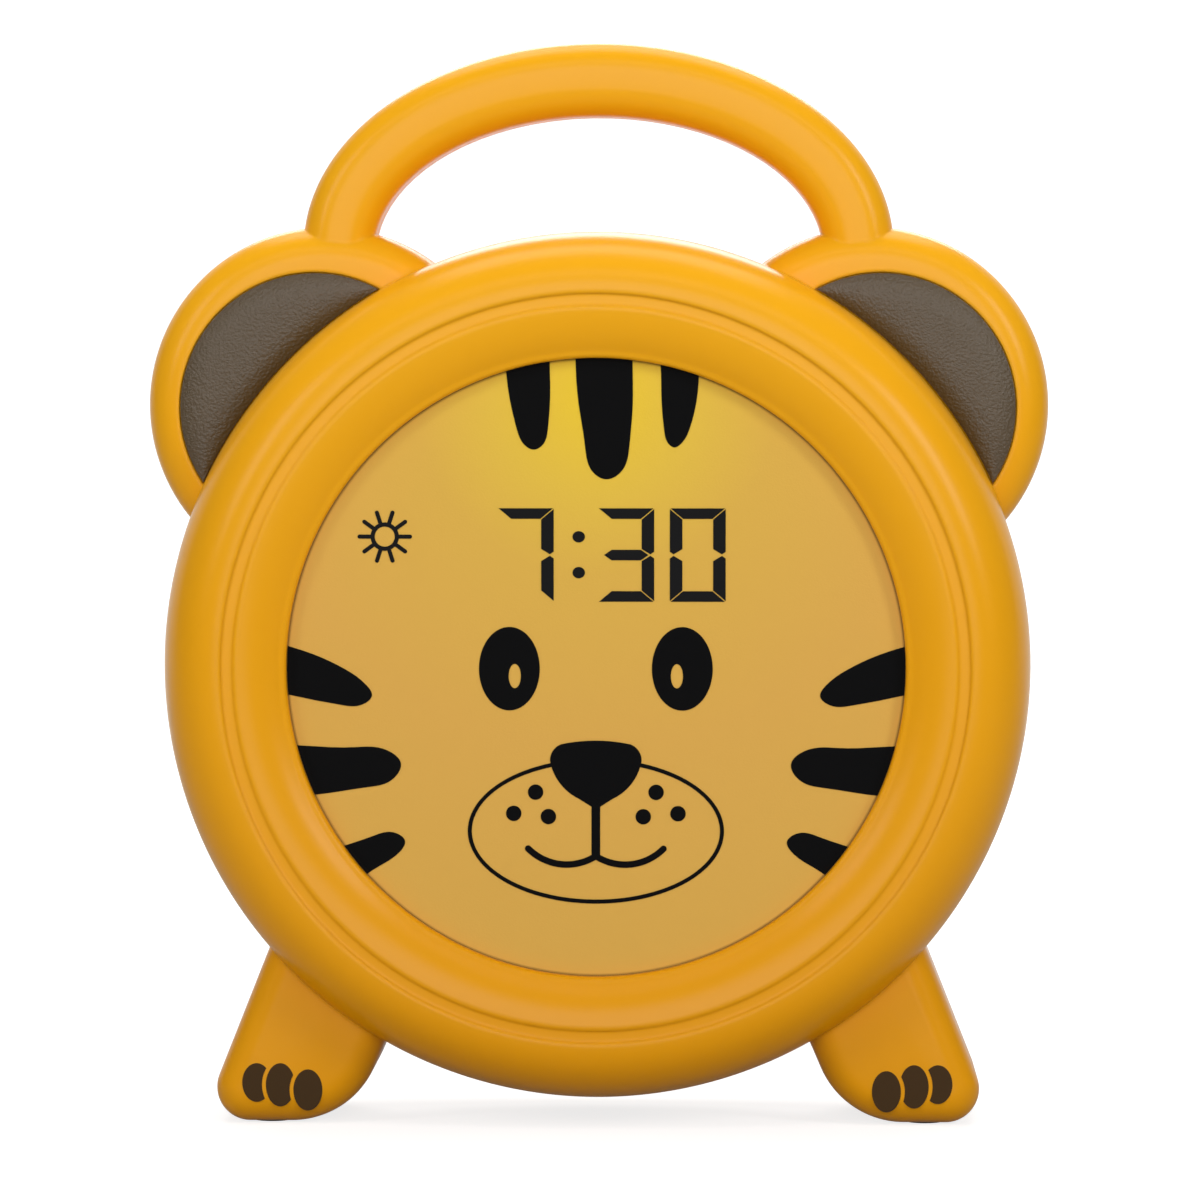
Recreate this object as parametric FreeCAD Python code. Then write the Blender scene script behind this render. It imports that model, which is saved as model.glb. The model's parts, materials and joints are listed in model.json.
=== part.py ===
import FreeCAD, Part
import math
import os

# Kids alarm clock with night light, in millimetres.
# X runs to the right as seen from the front, the face looks towards -Y and Z is up.
# The origin is under the middle of the clock, on the surface that it stands on.

V = FreeCAD.Vector

# Driving dimensions of the outside
half_depth = 28.0
parting_y = -2.0
wall = 2.2
body_radius = 76.8
body_lift = 5.0
side_draft = 0.2
front_roll_width = 10.5
front_roll_depth = 13.0
rear_roll = 12.0
ridge_edge = 0.45
groove_width = 2.0
groove_depth = 0.5
groove_shoulder = 0.6
shoulder_drop = 0.15
shoulder_curl = 0.05
flank_drop = 2.95
flank_bulge = 0.55
flank_width = 8.65
opening_fillet = 1.0
opening_depth = 5.6

# Ears and their inserts
ear_sink = 10.134
ear_angle = 43.51
ear_radius = 31.65
ear_front_y = -12.0
ear_rear_y = 8.0
ear_edge = 6.0
insert_shift_x = 1.8
insert_shift_z = -0.4
insert_radius = 23.8
insert_recess = 1.0
insert_rim = 0.25
insert_crown = 0.7
insert_gap = 0.25

# Carry handle, a band between two half ellipses
handle_past_ear = 4.15
handle_rise = 36.3
handle_sink = 2.9
handle_width = 12.5
grip_rise = 24.5
grip_drop = 1.3
handle_root = 9.7
handle_front_y = -11.0
handle_rear_y = 7.0
handle_edge = 5.0

# Legs and the toe prints on them
leg_front_y = -16.0
leg_rear_y = 20.0
leg_edge = 5.0
leg_heel_inset = 6.1
foot_length = 26.8
leg_lean = 21.6
instep_angle = 23.3
leg_root_rise = 31.8
heel_round = 6.0
toe_round = 16.0
toe_from_heel = [19.4, 14.5, 10.3]
toe_z = [6.3, 7.2, 7.6]
toe_half_height = [3.67, 3.85, 3.45]
toe_half_width = 2.57
toe_gap = 0.7
ink = 0.1

# Rubber pads under the legs
pad_radius = 3.6
pad_height = 1.4
pad_proud = 0.3
pad_chamfer = 0.18
pad_from_heel = 12.5
pad_front_y = -7.0
pad_rear_y = 11.0

# Face panel and its light tray
panel_overlap = 2.6
panel_thickness = 2.0
panel_gap = 0.3
rim_wall = 1.6
rim_height = 4.0
rim_lap = 1.5
tray_wall = 1.6
tray_depth = 12.4
lamp_radius = 2.5
lamp_height = 3.0
lamp_circle = 24.0
lamp_count = 8
lamp_gap = 0.4
print_edge_gap = 0.06

# Display behind the panel
display_side_room = 11.9
display_height = 21.0
display_centre_dz = 20.0
display_thickness = 2.4
display_frame_wall = 1.4
display_frame_depth = 3.6

# Printed face, measured from the middle of the panel
eye_x = 15.2
eye_dz = -0.2
eye_half_width = 5.35
eye_half_height = 7.35
glint_x = 14.25
glint_dz = -1.5
glint_half_width = 1.07
glint_half_height = 2.13
nose_top_dz = -12.85
nose_brow = (6.1, -13.5)
nose_corner = (7.55, -14.65)
nose_wide = (8.05, -16.45)
nose_cheek = (6.35, -20.35)
nose_chin = (3.0, -23.1)
nose_tip_dz = -24.5
bar_half_width = 0.77
bar_end_dz = -33.6
muzzle_half_width = 22.55
muzzle_middle_dz = -28.8
muzzle_drop = 12.8
muzzle_line = 0.72
freckle_radius = 1.36
freckles = [(8.35, -26.25), (10.6, -21.95), (14.45, -25.7)]
mouth_line = 1.15
mouth_low_x = 5.6
mouth_low_dz = -34.7
mouth_end_x = 11.9
mouth_end_dz = -31.9
mouth_middle_dz = -33.2

# Display figures and the sun sign
digit_width = 9.8
digit_height = 16.4
digit_bottom_dz = 11.6
bar_thickness = 1.85
post_thickness = 2.2
segment_gap = 0.26
tip_share = 0.4
cut_share = 0.3
seven_x = -17.2
three_x = 0.45
zero_x = 13.0
colon_x = -3.0
colon_dz = [16.7, 23.0]
colon_half_width = 1.1
colon_half_height = 1.0
sun_from_edge = 17.3
sun_dz = 23.0
sun_outer = 2.47
sun_inner = 1.8
sun_ray_end = 4.77
sun_ray_start = 3.2
sun_ray_width = 0.65
sun_rays = 10

# Screws and bosses
screw_radius = 1.5
screw_head_radius = 2.8
screw_head_height = 2.0
screw_length = 10.0
screw_seat_depth = 4.5
boss_radius = 3.4
rear_boss_radius = 4.5
boss_root = 1.4
bore_gap = 0.05
head_gap = 0.3
drive_share = 0.35
boss_from_edge = 13.4
boss_angles = [28.0, 152.0, 208.0, 332.0]
ear_boss_beyond = 11.2
leg_boss_from_heel = 19.7
leg_boss_z = 20.0
small_screw_radius = 1.1
small_head_radius = 2.0
small_head_height = 1.3
small_screw_length = 5.0
small_boss_radius = 2.4
pilot_spare = 0.6
lug_from_seat = 4.7
lug_angles = [62.0, 118.0, 242.0, 298.0]
lug_half_width = 3.6

# Circuit boards
board_thickness = 1.6
main_board_width = 84.0
main_board_height = 66.0
main_board_inset = 6.0
main_post_height = 2.6
chip_size = 12.0
chip_height = 1.8

# Controls on the back
control_dz = 12.0
button_radius = 5.0
button_count = 6
button_row_start = 22.8
button_row_end = 53.3
button_proud = 1.0
button_edge = 0.6
button_gap = 0.1
button_flange = 1.0
button_flange_depth = 1.2
button_flange_play = 0.1
button_stem_radius = 1.8
button_stem_length = 2.0
button_rest_play = 0.55
switch_size = 6.0
switch_body_height = 2.6
switch_plunger_radius = 1.6
switch_plunger_height = 1.0
slider_from_edge = 28.8
slider_knob_width = 4.0
slider_knob_height = 3.0
slider_travel = 4.0
slider_proud = 0.7
slider_gap = 0.15
slider_case_width = 13.0
slider_case_height = 6.5
slider_case_depth = 4.5
slider_recess_depth = 1.0
slider_recess_margin = 2.0
control_board_side = 7.0
control_board_height = 14.0
control_post_rise = 4.6

# Loudspeaker
speaker_dz = 41.0
speaker_radius = 18.0
speaker_flange = 2.0
speaker_flange_depth = 1.5
speaker_depth = 7.0
speaker_skin = 0.8
speaker_magnet_radius = 9.0
speaker_magnet_depth = 5.0
speaker_seat_height = 3.0
speaker_lug_reach = 4.4
cone_skin = 0.4
cone_centre_radius = 4.0
slot_width = 2.0
slot_pitch = 4.0
slot_field = 15.0

# Battery compartment
cell_diameter = 14.5
cell_length = 50.5
cell_count = 3
cell_gap = 0.6
pocket_wall = 1.6
pocket_top_dz = -7.0
door_thickness = 2.0
door_gap = 0.3
door_corner = 3.0
door_rib = 1.2
door_rib_height = 1.2
door_tongue_width = 14.0
door_tongue_height = 8.5
door_tongue_floor = 2.4
door_screw_radius = 1.25
door_screw_head_radius = 2.4
door_screw_head_height = 1.2
door_screw_length = 8.0
grip_groove = 1.2
grip_pitch = 3.0
grip_groove_depth = 0.6
grip_groove_length = 18.0
spring_wire_radius = 0.35
spring_radius = 3.6
spring_length = 4.2
spring_turns = 4
plate_thickness = 0.4
plate_width = 9.0
tab_width = 3.0
tab_reach = 2.4

# Power socket
socket_from_edge = 27.8
socket_dz = -16.0
socket_width = 7.8
socket_height = 2.9
socket_length = 7.0
socket_skin = 0.4
socket_gap = 0.3
socket_flush = 0.4
power_board_width = 18.0
power_board_depth = 13.0
rail_wall = 1.2
rail_gap = 0.1

# Wires
wire_radius = 0.6
wire_bend = 3.0
wire_lead = 4.5
wire_step = 3.6
wire_spacing = 2.0
ribbon_width = 10.0
ribbon_thickness = 0.5

# Worked out from the above
body_centre_z = body_lift + body_radius
crest_y = -half_depth
rear_y = half_depth - button_proud
back_inside_y = rear_y - wall
ridge_radius = body_radius - side_draft - front_roll_width
groove_outer = ridge_radius - ridge_edge
shoulder_radius = groove_outer - groove_width - groove_shoulder
opening_radius = shoulder_radius - flank_width
panel_front_y = crest_y + opening_depth
panel_rear_y = panel_front_y + panel_thickness
panel_radius = opening_radius + panel_overlap
tray_back_y = panel_rear_y + tray_depth
main_board_y = tray_back_y + main_post_height
seat_radius = panel_radius + panel_gap
screw_seat_y = parting_y + screw_seat_depth
ear_turn = math.radians(ear_angle)
ear_centre_x = (body_radius - ear_sink) * math.cos(ear_turn)
ear_centre_z = body_centre_z + (body_radius - ear_sink) * math.sin(ear_turn)
insert_centre_x = ear_centre_x + insert_shift_x
insert_centre_z = ear_centre_z + insert_shift_z
handle_centre_z = body_centre_z + body_radius - handle_sink
handle_foot_z = handle_centre_z - handle_root
handle_half_width = ear_centre_x + handle_past_ear
grip_half_width = handle_half_width - handle_width
grip_centre_z = handle_centre_z - grip_drop
leg_heel_x = body_radius - leg_heel_inset
leg_toe_x = leg_heel_x - foot_length
leg_root_z = body_lift + leg_root_rise
pad_x = leg_heel_x - pad_from_heel
boss_circle = body_radius - boss_from_edge
ear_boss_x = (body_radius + ear_boss_beyond) * math.cos(ear_turn)
ear_boss_z = body_centre_z + (body_radius + ear_boss_beyond) * math.sin(ear_turn)
leg_boss_x = leg_heel_x - leg_boss_from_heel
lug_circle = seat_radius + lug_from_seat
display_width = 2 * (opening_radius - display_side_room)
sun_x = sun_from_edge - opening_radius
button_first_x = button_row_start - body_radius
button_pitch = (body_radius - button_row_end - button_first_x) / (button_count - 1)
slider_x = body_radius - slider_from_edge
socket_x = body_radius - socket_from_edge
switch_top_y = (back_inside_y - button_flange_play - button_flange_depth
                - button_stem_length - button_rest_play)
control_board_y = switch_top_y - switch_plunger_height - switch_body_height
control_z = body_centre_z + control_dz
speaker_z = body_centre_z + speaker_dz
speaker_seat_y = back_inside_y - speaker_seat_height
contact_room = plate_thickness + spring_length
pocket_length = cell_length + contact_room + plate_thickness + cell_gap
pocket_height = cell_count * (cell_diameter + cell_gap) + cell_gap
pocket_depth = cell_diameter + 2 * cell_gap
door_inside_y = rear_y - door_thickness
pocket_floor_y = door_inside_y - door_rib_height - pocket_depth
pocket_top_z = body_centre_z + pocket_top_dz
pocket_bottom_z = pocket_top_z - pocket_height
door_screw_z = pocket_top_z + pocket_wall + door_tongue_height / 2
cell_y = pocket_floor_y + cell_gap + cell_diameter / 2
board_top_z = body_centre_z + socket_dz - socket_height / 2
display_ribbon_z = body_centre_z + display_centre_dz - display_height / 4
battery_wire_z = body_centre_z - main_board_height / 2 + main_board_inset + 2 * wire_bend


def cylinder(radius, x, z, y0, y1):
    return Part.makeCylinder(radius, y1 - y0, V(x, y0, z), V(0, 1, 0))


def box(x0, x1, y0, y1, z0, z1):
    return Part.makeBox(x1 - x0, y1 - y0, z1 - z0, V(x0, y0, z0))


def line(a, b):
    return Part.LineSegment(a, b).toShape()


def arc(a, middle, b):
    return Part.Arc(a, middle, b).toShape()


def front_point(x, z):
    """A point of a front-view outline, which lies in the plane Y = 0."""
    return V(x, 0, z)


def ellipse_arc(centre, across, up, start_deg, end_deg):
    """An arc of an ellipse in the front view, from one angle to another."""
    long_side = max(across, up)
    short_side = min(across, up)
    if across >= up:
        major, minor = V(long_side, 0, 0), V(0, 0, short_side)
    else:
        major, minor = V(0, 0, long_side), V(-short_side, 0, 0)
    curve = Part.Ellipse(centre + major, centre + minor, centre)
    ends = []
    for angle in (start_deg, end_deg):
        turn = math.radians(angle)
        ends.append(centre + V(across * math.cos(turn), 0, up * math.sin(turn)))
    first = curve.parameter(ends[0])
    last = curve.parameter(ends[1])
    middle_turn = math.radians((start_deg + end_deg) / 2)
    wanted = centre + V(across * math.cos(middle_turn), 0, up * math.sin(middle_turn))
    piece = Part.ArcOfEllipse(curve, first, last)
    halfway = piece.value((piece.FirstParameter + piece.LastParameter) / 2)
    if halfway.distanceToPoint(wanted) > short_side / 2:
        piece = Part.ArcOfEllipse(curve, last, first)
    return piece.toShape()


def plate(edges, y0, y1):
    """A front-view outline made into a plate between two depths."""
    wire = Part.Wire(Part.__sortEdges__(edges))
    face = Part.Face(wire)
    face.translate(V(0, y0, 0))
    return face.extrude(V(0, y1 - y0, 0))


def flat_edges(solid, depths):
    """The edges of a plate that lie in the planes of the given depths."""
    found = []
    for edge in solid.Edges:
        ends = edge.BoundBox
        for depth in depths:
            if abs(ends.YMin - depth) < 1e-6 and abs(ends.YMax - depth) < 1e-6:
                found.append(edge)
    return found


def mirrored(shape):
    return shape.mirror(V(0, 0, 0), V(1, 0, 0))


def fused(shapes):
    first = shapes[0]
    return first.fuse(shapes[1:]) if len(shapes) > 1 else first


def polar(circle, angle_deg):
    """X and Z of a point on a circle about the body's axis."""
    turn = math.radians(angle_deg)
    return circle * math.cos(turn), body_centre_z + circle * math.sin(turn)


def revolved(edges):
    """A profile of radius and depth turned about the body's axis."""
    face = Part.Face(Part.Wire(Part.__sortEdges__(edges)))
    solid = face.revolve(V(0, 0, 0), V(0, 1, 0), 360)
    solid.translate(V(0, 0, body_centre_z))
    return solid


def roll(centre_r, centre_y, across, deep, towards):
    """A quarter of an ellipse in the profile, from the side wall to the front or back."""
    s = math.sqrt(0.5)
    side = V(centre_r + across, centre_y, 0)
    end = V(centre_r, centre_y + towards * deep, 0)
    middle = V(centre_r + across * s, centre_y + towards * deep * s, 0)
    centre = V(centre_r, centre_y, 0)
    if abs(across - deep) < 1e-6:
        return arc(side, middle, end)
    if across > deep:
        curve = Part.Ellipse(side, V(centre_r, centre_y + deep, 0), centre)
    else:
        curve = Part.Ellipse(V(centre_r, centre_y + deep, 0), V(centre_r - across, centre_y, 0), centre)
    piece = Part.ArcOfEllipse(curve, curve.parameter(side), curve.parameter(end))
    halfway = piece.value((piece.FirstParameter + piece.LastParameter) / 2)
    if halfway.distanceToPoint(middle) > across / 2:
        piece = Part.ArcOfEllipse(curve, curve.parameter(end), curve.parameter(side))
    return piece.toShape()


def side_and_back(inset):
    """The side wall and the rolled back edge, up to the middle of the back."""
    start_y = crest_y + front_roll_depth
    front_r = body_radius - side_draft - inset
    side_r = body_radius - inset
    back_start = rear_y - rear_roll
    edges = [
        roll(ridge_radius, start_y, front_roll_width - inset, front_roll_depth - inset, -1),
        line(V(front_r, start_y, 0), V(side_r, parting_y, 0)),
        line(V(side_r, parting_y, 0), V(side_r, back_start, 0)),
        roll(body_radius - rear_roll, back_start, rear_roll - inset, rear_roll - inset, 1),
        line(V(body_radius - rear_roll, rear_y - inset, 0), V(0, rear_y - inset, 0)),
    ]
    return edges


def drum_outside():
    """The round body with its ridge, groove, sloping ring and face opening."""
    ridge = V(ridge_radius, crest_y, 0)
    groove_y = crest_y + groove_depth
    edge_end = V(groove_outer, groove_y, 0)
    half = ridge_edge * math.sqrt(0.5)
    edge_middle = V(groove_outer + ridge_edge - half, crest_y + groove_depth * (1 - math.sqrt(0.5)), 0)
    groove_end = V(groove_outer - groove_width, groove_y, 0)
    shoulder = V(shoulder_radius, crest_y + shoulder_drop, 0)
    shoulder_middle = V(shoulder_radius + groove_shoulder / 2, crest_y + shoulder_drop + shoulder_curl, 0)
    flank_end = V(opening_radius + opening_fillet, crest_y + shoulder_drop + flank_drop, 0)
    chord = flank_end - shoulder
    normal = V(chord.y, -chord.x, 0).normalize()
    if normal.y > 0:
        normal = normal * -1
    flank_middle = (shoulder + flank_end) * 0.5 + normal * flank_bulge
    lip = V(opening_radius, flank_end.y + opening_fillet, 0)
    s = opening_fillet * (1 - math.sqrt(0.5))
    lip_middle = V(opening_radius + s, flank_end.y + s, 0)
    dish_y = panel_rear_y + panel_thickness
    edges = side_and_back(0)
    edges += [
        arc(ridge, edge_middle, edge_end),
        line(edge_end, groove_end),
        arc(groove_end, shoulder_middle, shoulder),
        arc(shoulder, flank_middle, flank_end),
        arc(flank_end, lip_middle, lip),
        line(lip, V(opening_radius, dish_y, 0)),
        line(V(opening_radius, dish_y, 0), V(0, dish_y, 0)),
        line(V(0, dish_y, 0), V(0, rear_y, 0)),
    ]
    return revolved(edges)


def drum_inside():
    """The hollow of the round body, with a flat seat for the face panel."""
    edges = side_and_back(wall)
    edges += [
        line(V(ridge_radius, crest_y + wall, 0), V(shoulder_radius, crest_y + shoulder_drop + wall, 0)),
        line(V(shoulder_radius, crest_y + shoulder_drop + wall, 0), V(seat_radius, panel_front_y, 0)),
        line(V(seat_radius, panel_front_y, 0), V(0, panel_front_y, 0)),
        line(V(0, panel_front_y, 0), V(0, rear_y - wall, 0)),
    ]
    return revolved(edges)


def ear(inset):
    """The left ear, a round plate with a soft rim."""
    y0 = ear_front_y + inset
    y1 = ear_rear_y - inset
    solid = cylinder(ear_radius - inset, -ear_centre_x, ear_centre_z, y0, y1)
    return solid.makeFillet(ear_edge - inset, flat_edges(solid, [y0, y1]))


def handle(inset):
    """The carry handle, whose ends run down into the ears."""
    y0 = handle_front_y + inset
    y1 = handle_rear_y - inset
    wide = handle_half_width - inset
    narrow = grip_half_width + inset
    top = front_point(0, handle_centre_z)
    low = front_point(0, grip_centre_z)
    edges = [
        ellipse_arc(top, wide, handle_rise - inset, 0, 180),
        ellipse_arc(low, narrow, grip_rise + inset, 0, 180),
    ]
    for side in (-1, 1):
        outer_foot = front_point(side * wide, handle_foot_z)
        inner_foot = front_point(side * narrow, handle_foot_z)
        edges.append(line(front_point(side * wide, handle_centre_z), outer_foot))
        edges.append(line(outer_foot, inner_foot))
        edges.append(line(inner_foot, front_point(side * narrow, grip_centre_z)))
    solid = plate(edges, y0, y1)
    long_edges = []
    for edge in flat_edges(solid, [y0, y1]):
        if edge.BoundBox.ZMax > (handle_foot_z + grip_centre_z) / 2:
            long_edges.append(edge)
    return solid.makeFillet(handle_edge - inset, long_edges)


def rounded_outline(points, radii):
    """A closed front-view outline of straight runs with a rounded corner at each point."""
    edges = []
    count = len(points)
    joints = []
    for index, corner in enumerate(points):
        before = (points[index - 1] - corner).normalize()
        after = (points[(index + 1) % count] - corner).normalize()
        radius = radii[index]
        half_angle = before.getAngle(after) / 2
        reach = radius / math.tan(half_angle)
        start = corner + before * reach
        end = corner + after * reach
        joints.append((start, end))
        if radius > 0:
            inward = (before + after).normalize()
            middle = corner + inward * (radius / math.sin(half_angle) - radius)
            edges.append(arc(start, middle, end))
    for index in range(count):
        edges.append(line(joints[index - 1][1], joints[index][0]))
    return edges


def leg_outline():
    """The left leg in the front view, a splayed shin on a foot with a round heel and toe."""
    shin_lean = math.tan(math.radians(leg_lean))
    instep_lean = math.tan(math.radians(instep_angle))
    rise = leg_root_z - pad_proud
    return [
        front_point(-leg_heel_x + rise * shin_lean, leg_root_z),
        front_point(-leg_heel_x, pad_proud),
        front_point(-leg_toe_x, pad_proud),
        front_point(-leg_toe_x + rise * instep_lean, leg_root_z),
    ]


def leg(inset):
    """The left leg, a plate with soft edges all round."""
    y0 = leg_front_y + inset
    y1 = leg_rear_y - inset
    edges = rounded_outline(leg_outline(), [0, heel_round, toe_round, 0])
    face = Part.Face(Part.Wire(Part.__sortEdges__(edges)))
    if inset:
        face = face.makeOffset2D(-inset)
    face.translate(V(0, y0, 0))
    solid = face.extrude(V(0, y1 - y0, 0))
    return solid.makeFillet(leg_edge - inset, flat_edges(solid, [y0, y1]))


def form(inset, drum):
    """The whole soft outer form, or with an inset the hollow inside it."""
    shapes = [drum, ear(inset), mirrored(ear(inset)), handle(inset), leg(inset), mirrored(leg(inset))]
    return fused(shapes)



def screw_places():
    """X and Z of every housing screw: four in the body, one in each ear and one in each leg."""
    places = [polar(boss_circle, angle) for angle in boss_angles]
    for side in (-1, 1):
        places.append((side * ear_boss_x, ear_boss_z))
        places.append((side * leg_boss_x, leg_boss_z))
    return places


def half_of(shape, front):
    """The part of a shape in front of the parting plane, or behind it."""
    far = 4 * body_radius
    if front:
        return shape.common(box(-far, far, -far, parting_y, -far, far))
    return shape.common(box(-far, far, parting_y, far, -far, far))


def insert_outline(margin):
    """The front view of an ear insert: a round disc cut by the side of the body."""
    disc = cylinder(insert_radius + margin, -insert_centre_x, insert_centre_z, 0, 1)
    body = cylinder(body_radius + insert_gap - margin, 0, body_centre_z, -1, 2)
    return disc.cut(body)


def insert_solid(margin, y0, y1):
    """The insert outline drawn out between two depths."""
    outline = insert_outline(margin)
    face = None
    for candidate in outline.Faces:
        span = candidate.BoundBox
        if abs(span.YMin) < 1e-6 and abs(span.YMax) < 1e-6:
            face = candidate
    face.translate(V(0, y0, 0))
    return face.extrude(V(0, y1 - y0, 0))


def ear_insert():
    """The left ear insert, a slightly crowned pad that fills the recess in the ear."""
    back_y = ear_front_y + insert_recess
    rim_y = ear_front_y - insert_rim
    solid = insert_solid(0, rim_y - insert_crown, back_y)
    crown_radius = (insert_radius ** 2 + insert_crown ** 2) / (2 * insert_crown)
    crown_centre = V(-insert_centre_x, rim_y - insert_crown + crown_radius, insert_centre_z)
    return solid.common(Part.makeSphere(crown_radius, crown_centre))


def pad_places():
    """X and Y of the four rubber pads."""
    return {
        "foot_pad_left_front": (-pad_x, pad_front_y),
        "foot_pad_right_front": (pad_x, pad_front_y),
        "foot_pad_left_rear": (-pad_x, pad_rear_y),
        "foot_pad_right_rear": (pad_x, pad_rear_y),
    }


def pad_recess(front):
    shapes = []
    for x, y in pad_places().values():
        if (y < parting_y) == front:
            shapes.append(Part.makeCylinder(pad_radius + bore_gap, pad_height, V(x, y, 0)))
    return shapes


def lug_places():
    return [polar(lug_circle, angle) for angle in lug_angles]


def front_housing(shell):
    """The front half: bezel ring, front of the ears, handle and legs, with its bosses."""
    root_y = crest_y + boss_root
    adds = []
    rim = cylinder(seat_radius + rim_wall, 0, body_centre_z,
                   panel_front_y - rim_lap, panel_front_y + rim_height)
    adds.append(rim.cut(cylinder(seat_radius, 0, body_centre_z, crest_y, rear_y)))
    cuts = []
    tip_y = screw_seat_y - screw_length - pilot_spare
    for x, z in screw_places():
        boss_front = root_y
        if abs(z - ear_boss_z) < 1e-6:
            boss_front = ear_front_y + wall - 0.5
        elif abs(z - leg_boss_z) < 1e-6:
            boss_front = leg_front_y + wall - 0.5
        adds.append(cylinder(boss_radius, x, z, boss_front, parting_y))
        cuts.append(cylinder(screw_radius + bore_gap, x, z, tip_y, parting_y))
    lug_y = tray_back_y - tray_wall
    for x, z in lug_places():
        adds.append(cylinder(small_boss_radius, x, z, root_y, lug_y))
        cuts.append(cylinder(small_screw_radius + bore_gap, x, z,
                             tray_back_y - small_screw_length - pilot_spare, lug_y))
    recess = insert_solid(insert_gap, ear_front_y - 1, ear_front_y + insert_recess)
    cuts += [recess, mirrored(recess)]
    cuts += pad_recess(True)
    return half_of(shell, True).fuse(adds).cut(fused(cuts))


def rounded_box(x0, x1, y0, y1, z0, z1, radius):
    """A box whose four edges along Y are rounded."""
    solid = box(x0, x1, y0, y1, z0, z1)
    along = [edge for edge in solid.Edges if edge.BoundBox.YLength > (y1 - y0) / 2]
    return solid.makeFillet(radius, along)


def door_outline(margin, y0, y1):
    """The battery door with its screw tongue, grown by a margin all round."""
    half = pocket_length / 2 + pocket_wall + margin
    low = pocket_bottom_z - pocket_wall - margin
    high = pocket_top_z + pocket_wall + margin
    plate_solid = rounded_box(-half, half, y0, y1, low, high, door_corner)
    tongue_half = door_tongue_width / 2 + margin
    tongue = rounded_box(-tongue_half, tongue_half, y0, y1, high - 2 * door_corner,
                         high + door_tongue_height, door_corner)
    return plate_solid.fuse(tongue)


def cell_centres():
    """Heights of the cells' middles, from the top one down."""
    first = pocket_top_z - cell_gap - cell_diameter / 2
    return [first - index * (cell_diameter + cell_gap) for index in range(cell_count)]


def contact_tab(side, z, margin):
    """The solder tab of a contact plate, which goes out through the end of the compartment."""
    inner = side * (pocket_length / 2 - plate_thickness)
    outer = side * (pocket_length / 2 + pocket_wall + tab_reach)
    return box(min(inner, outer), max(inner, outer), cell_y - plate_thickness / 2 - margin,
               cell_y + plate_thickness / 2 + margin, z - tab_width / 2 - margin, z + tab_width / 2 + margin)


def button_places():
    return [button_first_x + index * button_pitch for index in range(button_count)]


def control_post_places():
    """Posts for the control board, above the gaps between the buttons."""
    rows = button_places()
    half = button_pitch / 2
    return [rows[0] + half, rows[3] + half, rows[5] + half]


def speaker_slots():
    shapes = []
    rows = int(slot_field // slot_pitch)
    for row in range(-rows, rows + 1):
        dz = row * slot_pitch
        half = math.sqrt(slot_field ** 2 - dz ** 2)
        z = speaker_z + dz
        shapes.append(box(-half, half, back_inside_y - 1, rear_y + 1, z - slot_width / 2, z + slot_width / 2))
        for side in (-1, 1):
            shapes.append(cylinder(slot_width / 2, side * half, z, back_inside_y - 1, rear_y + 1))
    return shapes


def slider_slot():
    """The slot for the switch knob and the shallow recess round it."""
    half_x = (slider_travel + slider_knob_width) / 2 + slider_gap
    half_z = slider_knob_height / 2 + slider_gap
    margin = slider_recess_margin
    slot = box(slider_x - half_x, slider_x + half_x, back_inside_y - 1, rear_y + 1,
               control_z - half_z, control_z + half_z)
    recess = rounded_box(slider_x - half_x - margin, slider_x + half_x + margin,
                         rear_y - slider_recess_depth, rear_y + 1,
                         control_z - half_z - margin, control_z + half_z + margin, margin)
    return [slot, recess]


def power_rails():
    """Two grooved rails on the back wall that hold the power board by its sides."""
    rails = []
    z0 = board_top_z - board_thickness
    front = back_inside_y - socket_gap - power_board_depth
    for side in (-1, 1):
        edge = socket_x + side * power_board_width / 2
        inner = edge - side * rail_wall
        outer = edge + side * rail_wall
        rails.append(box(min(inner, outer), max(inner, outer), front, rear_y - 1,
                         z0 - rail_wall, board_top_z + rail_wall))
    half = power_board_width / 2 + rail_gap
    groove = box(socket_x - half, socket_x + half, front - 1, back_inside_y,
                 z0 - rail_gap, board_top_z + rail_gap)
    return [rail.cut(groove) for rail in rails]


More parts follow.
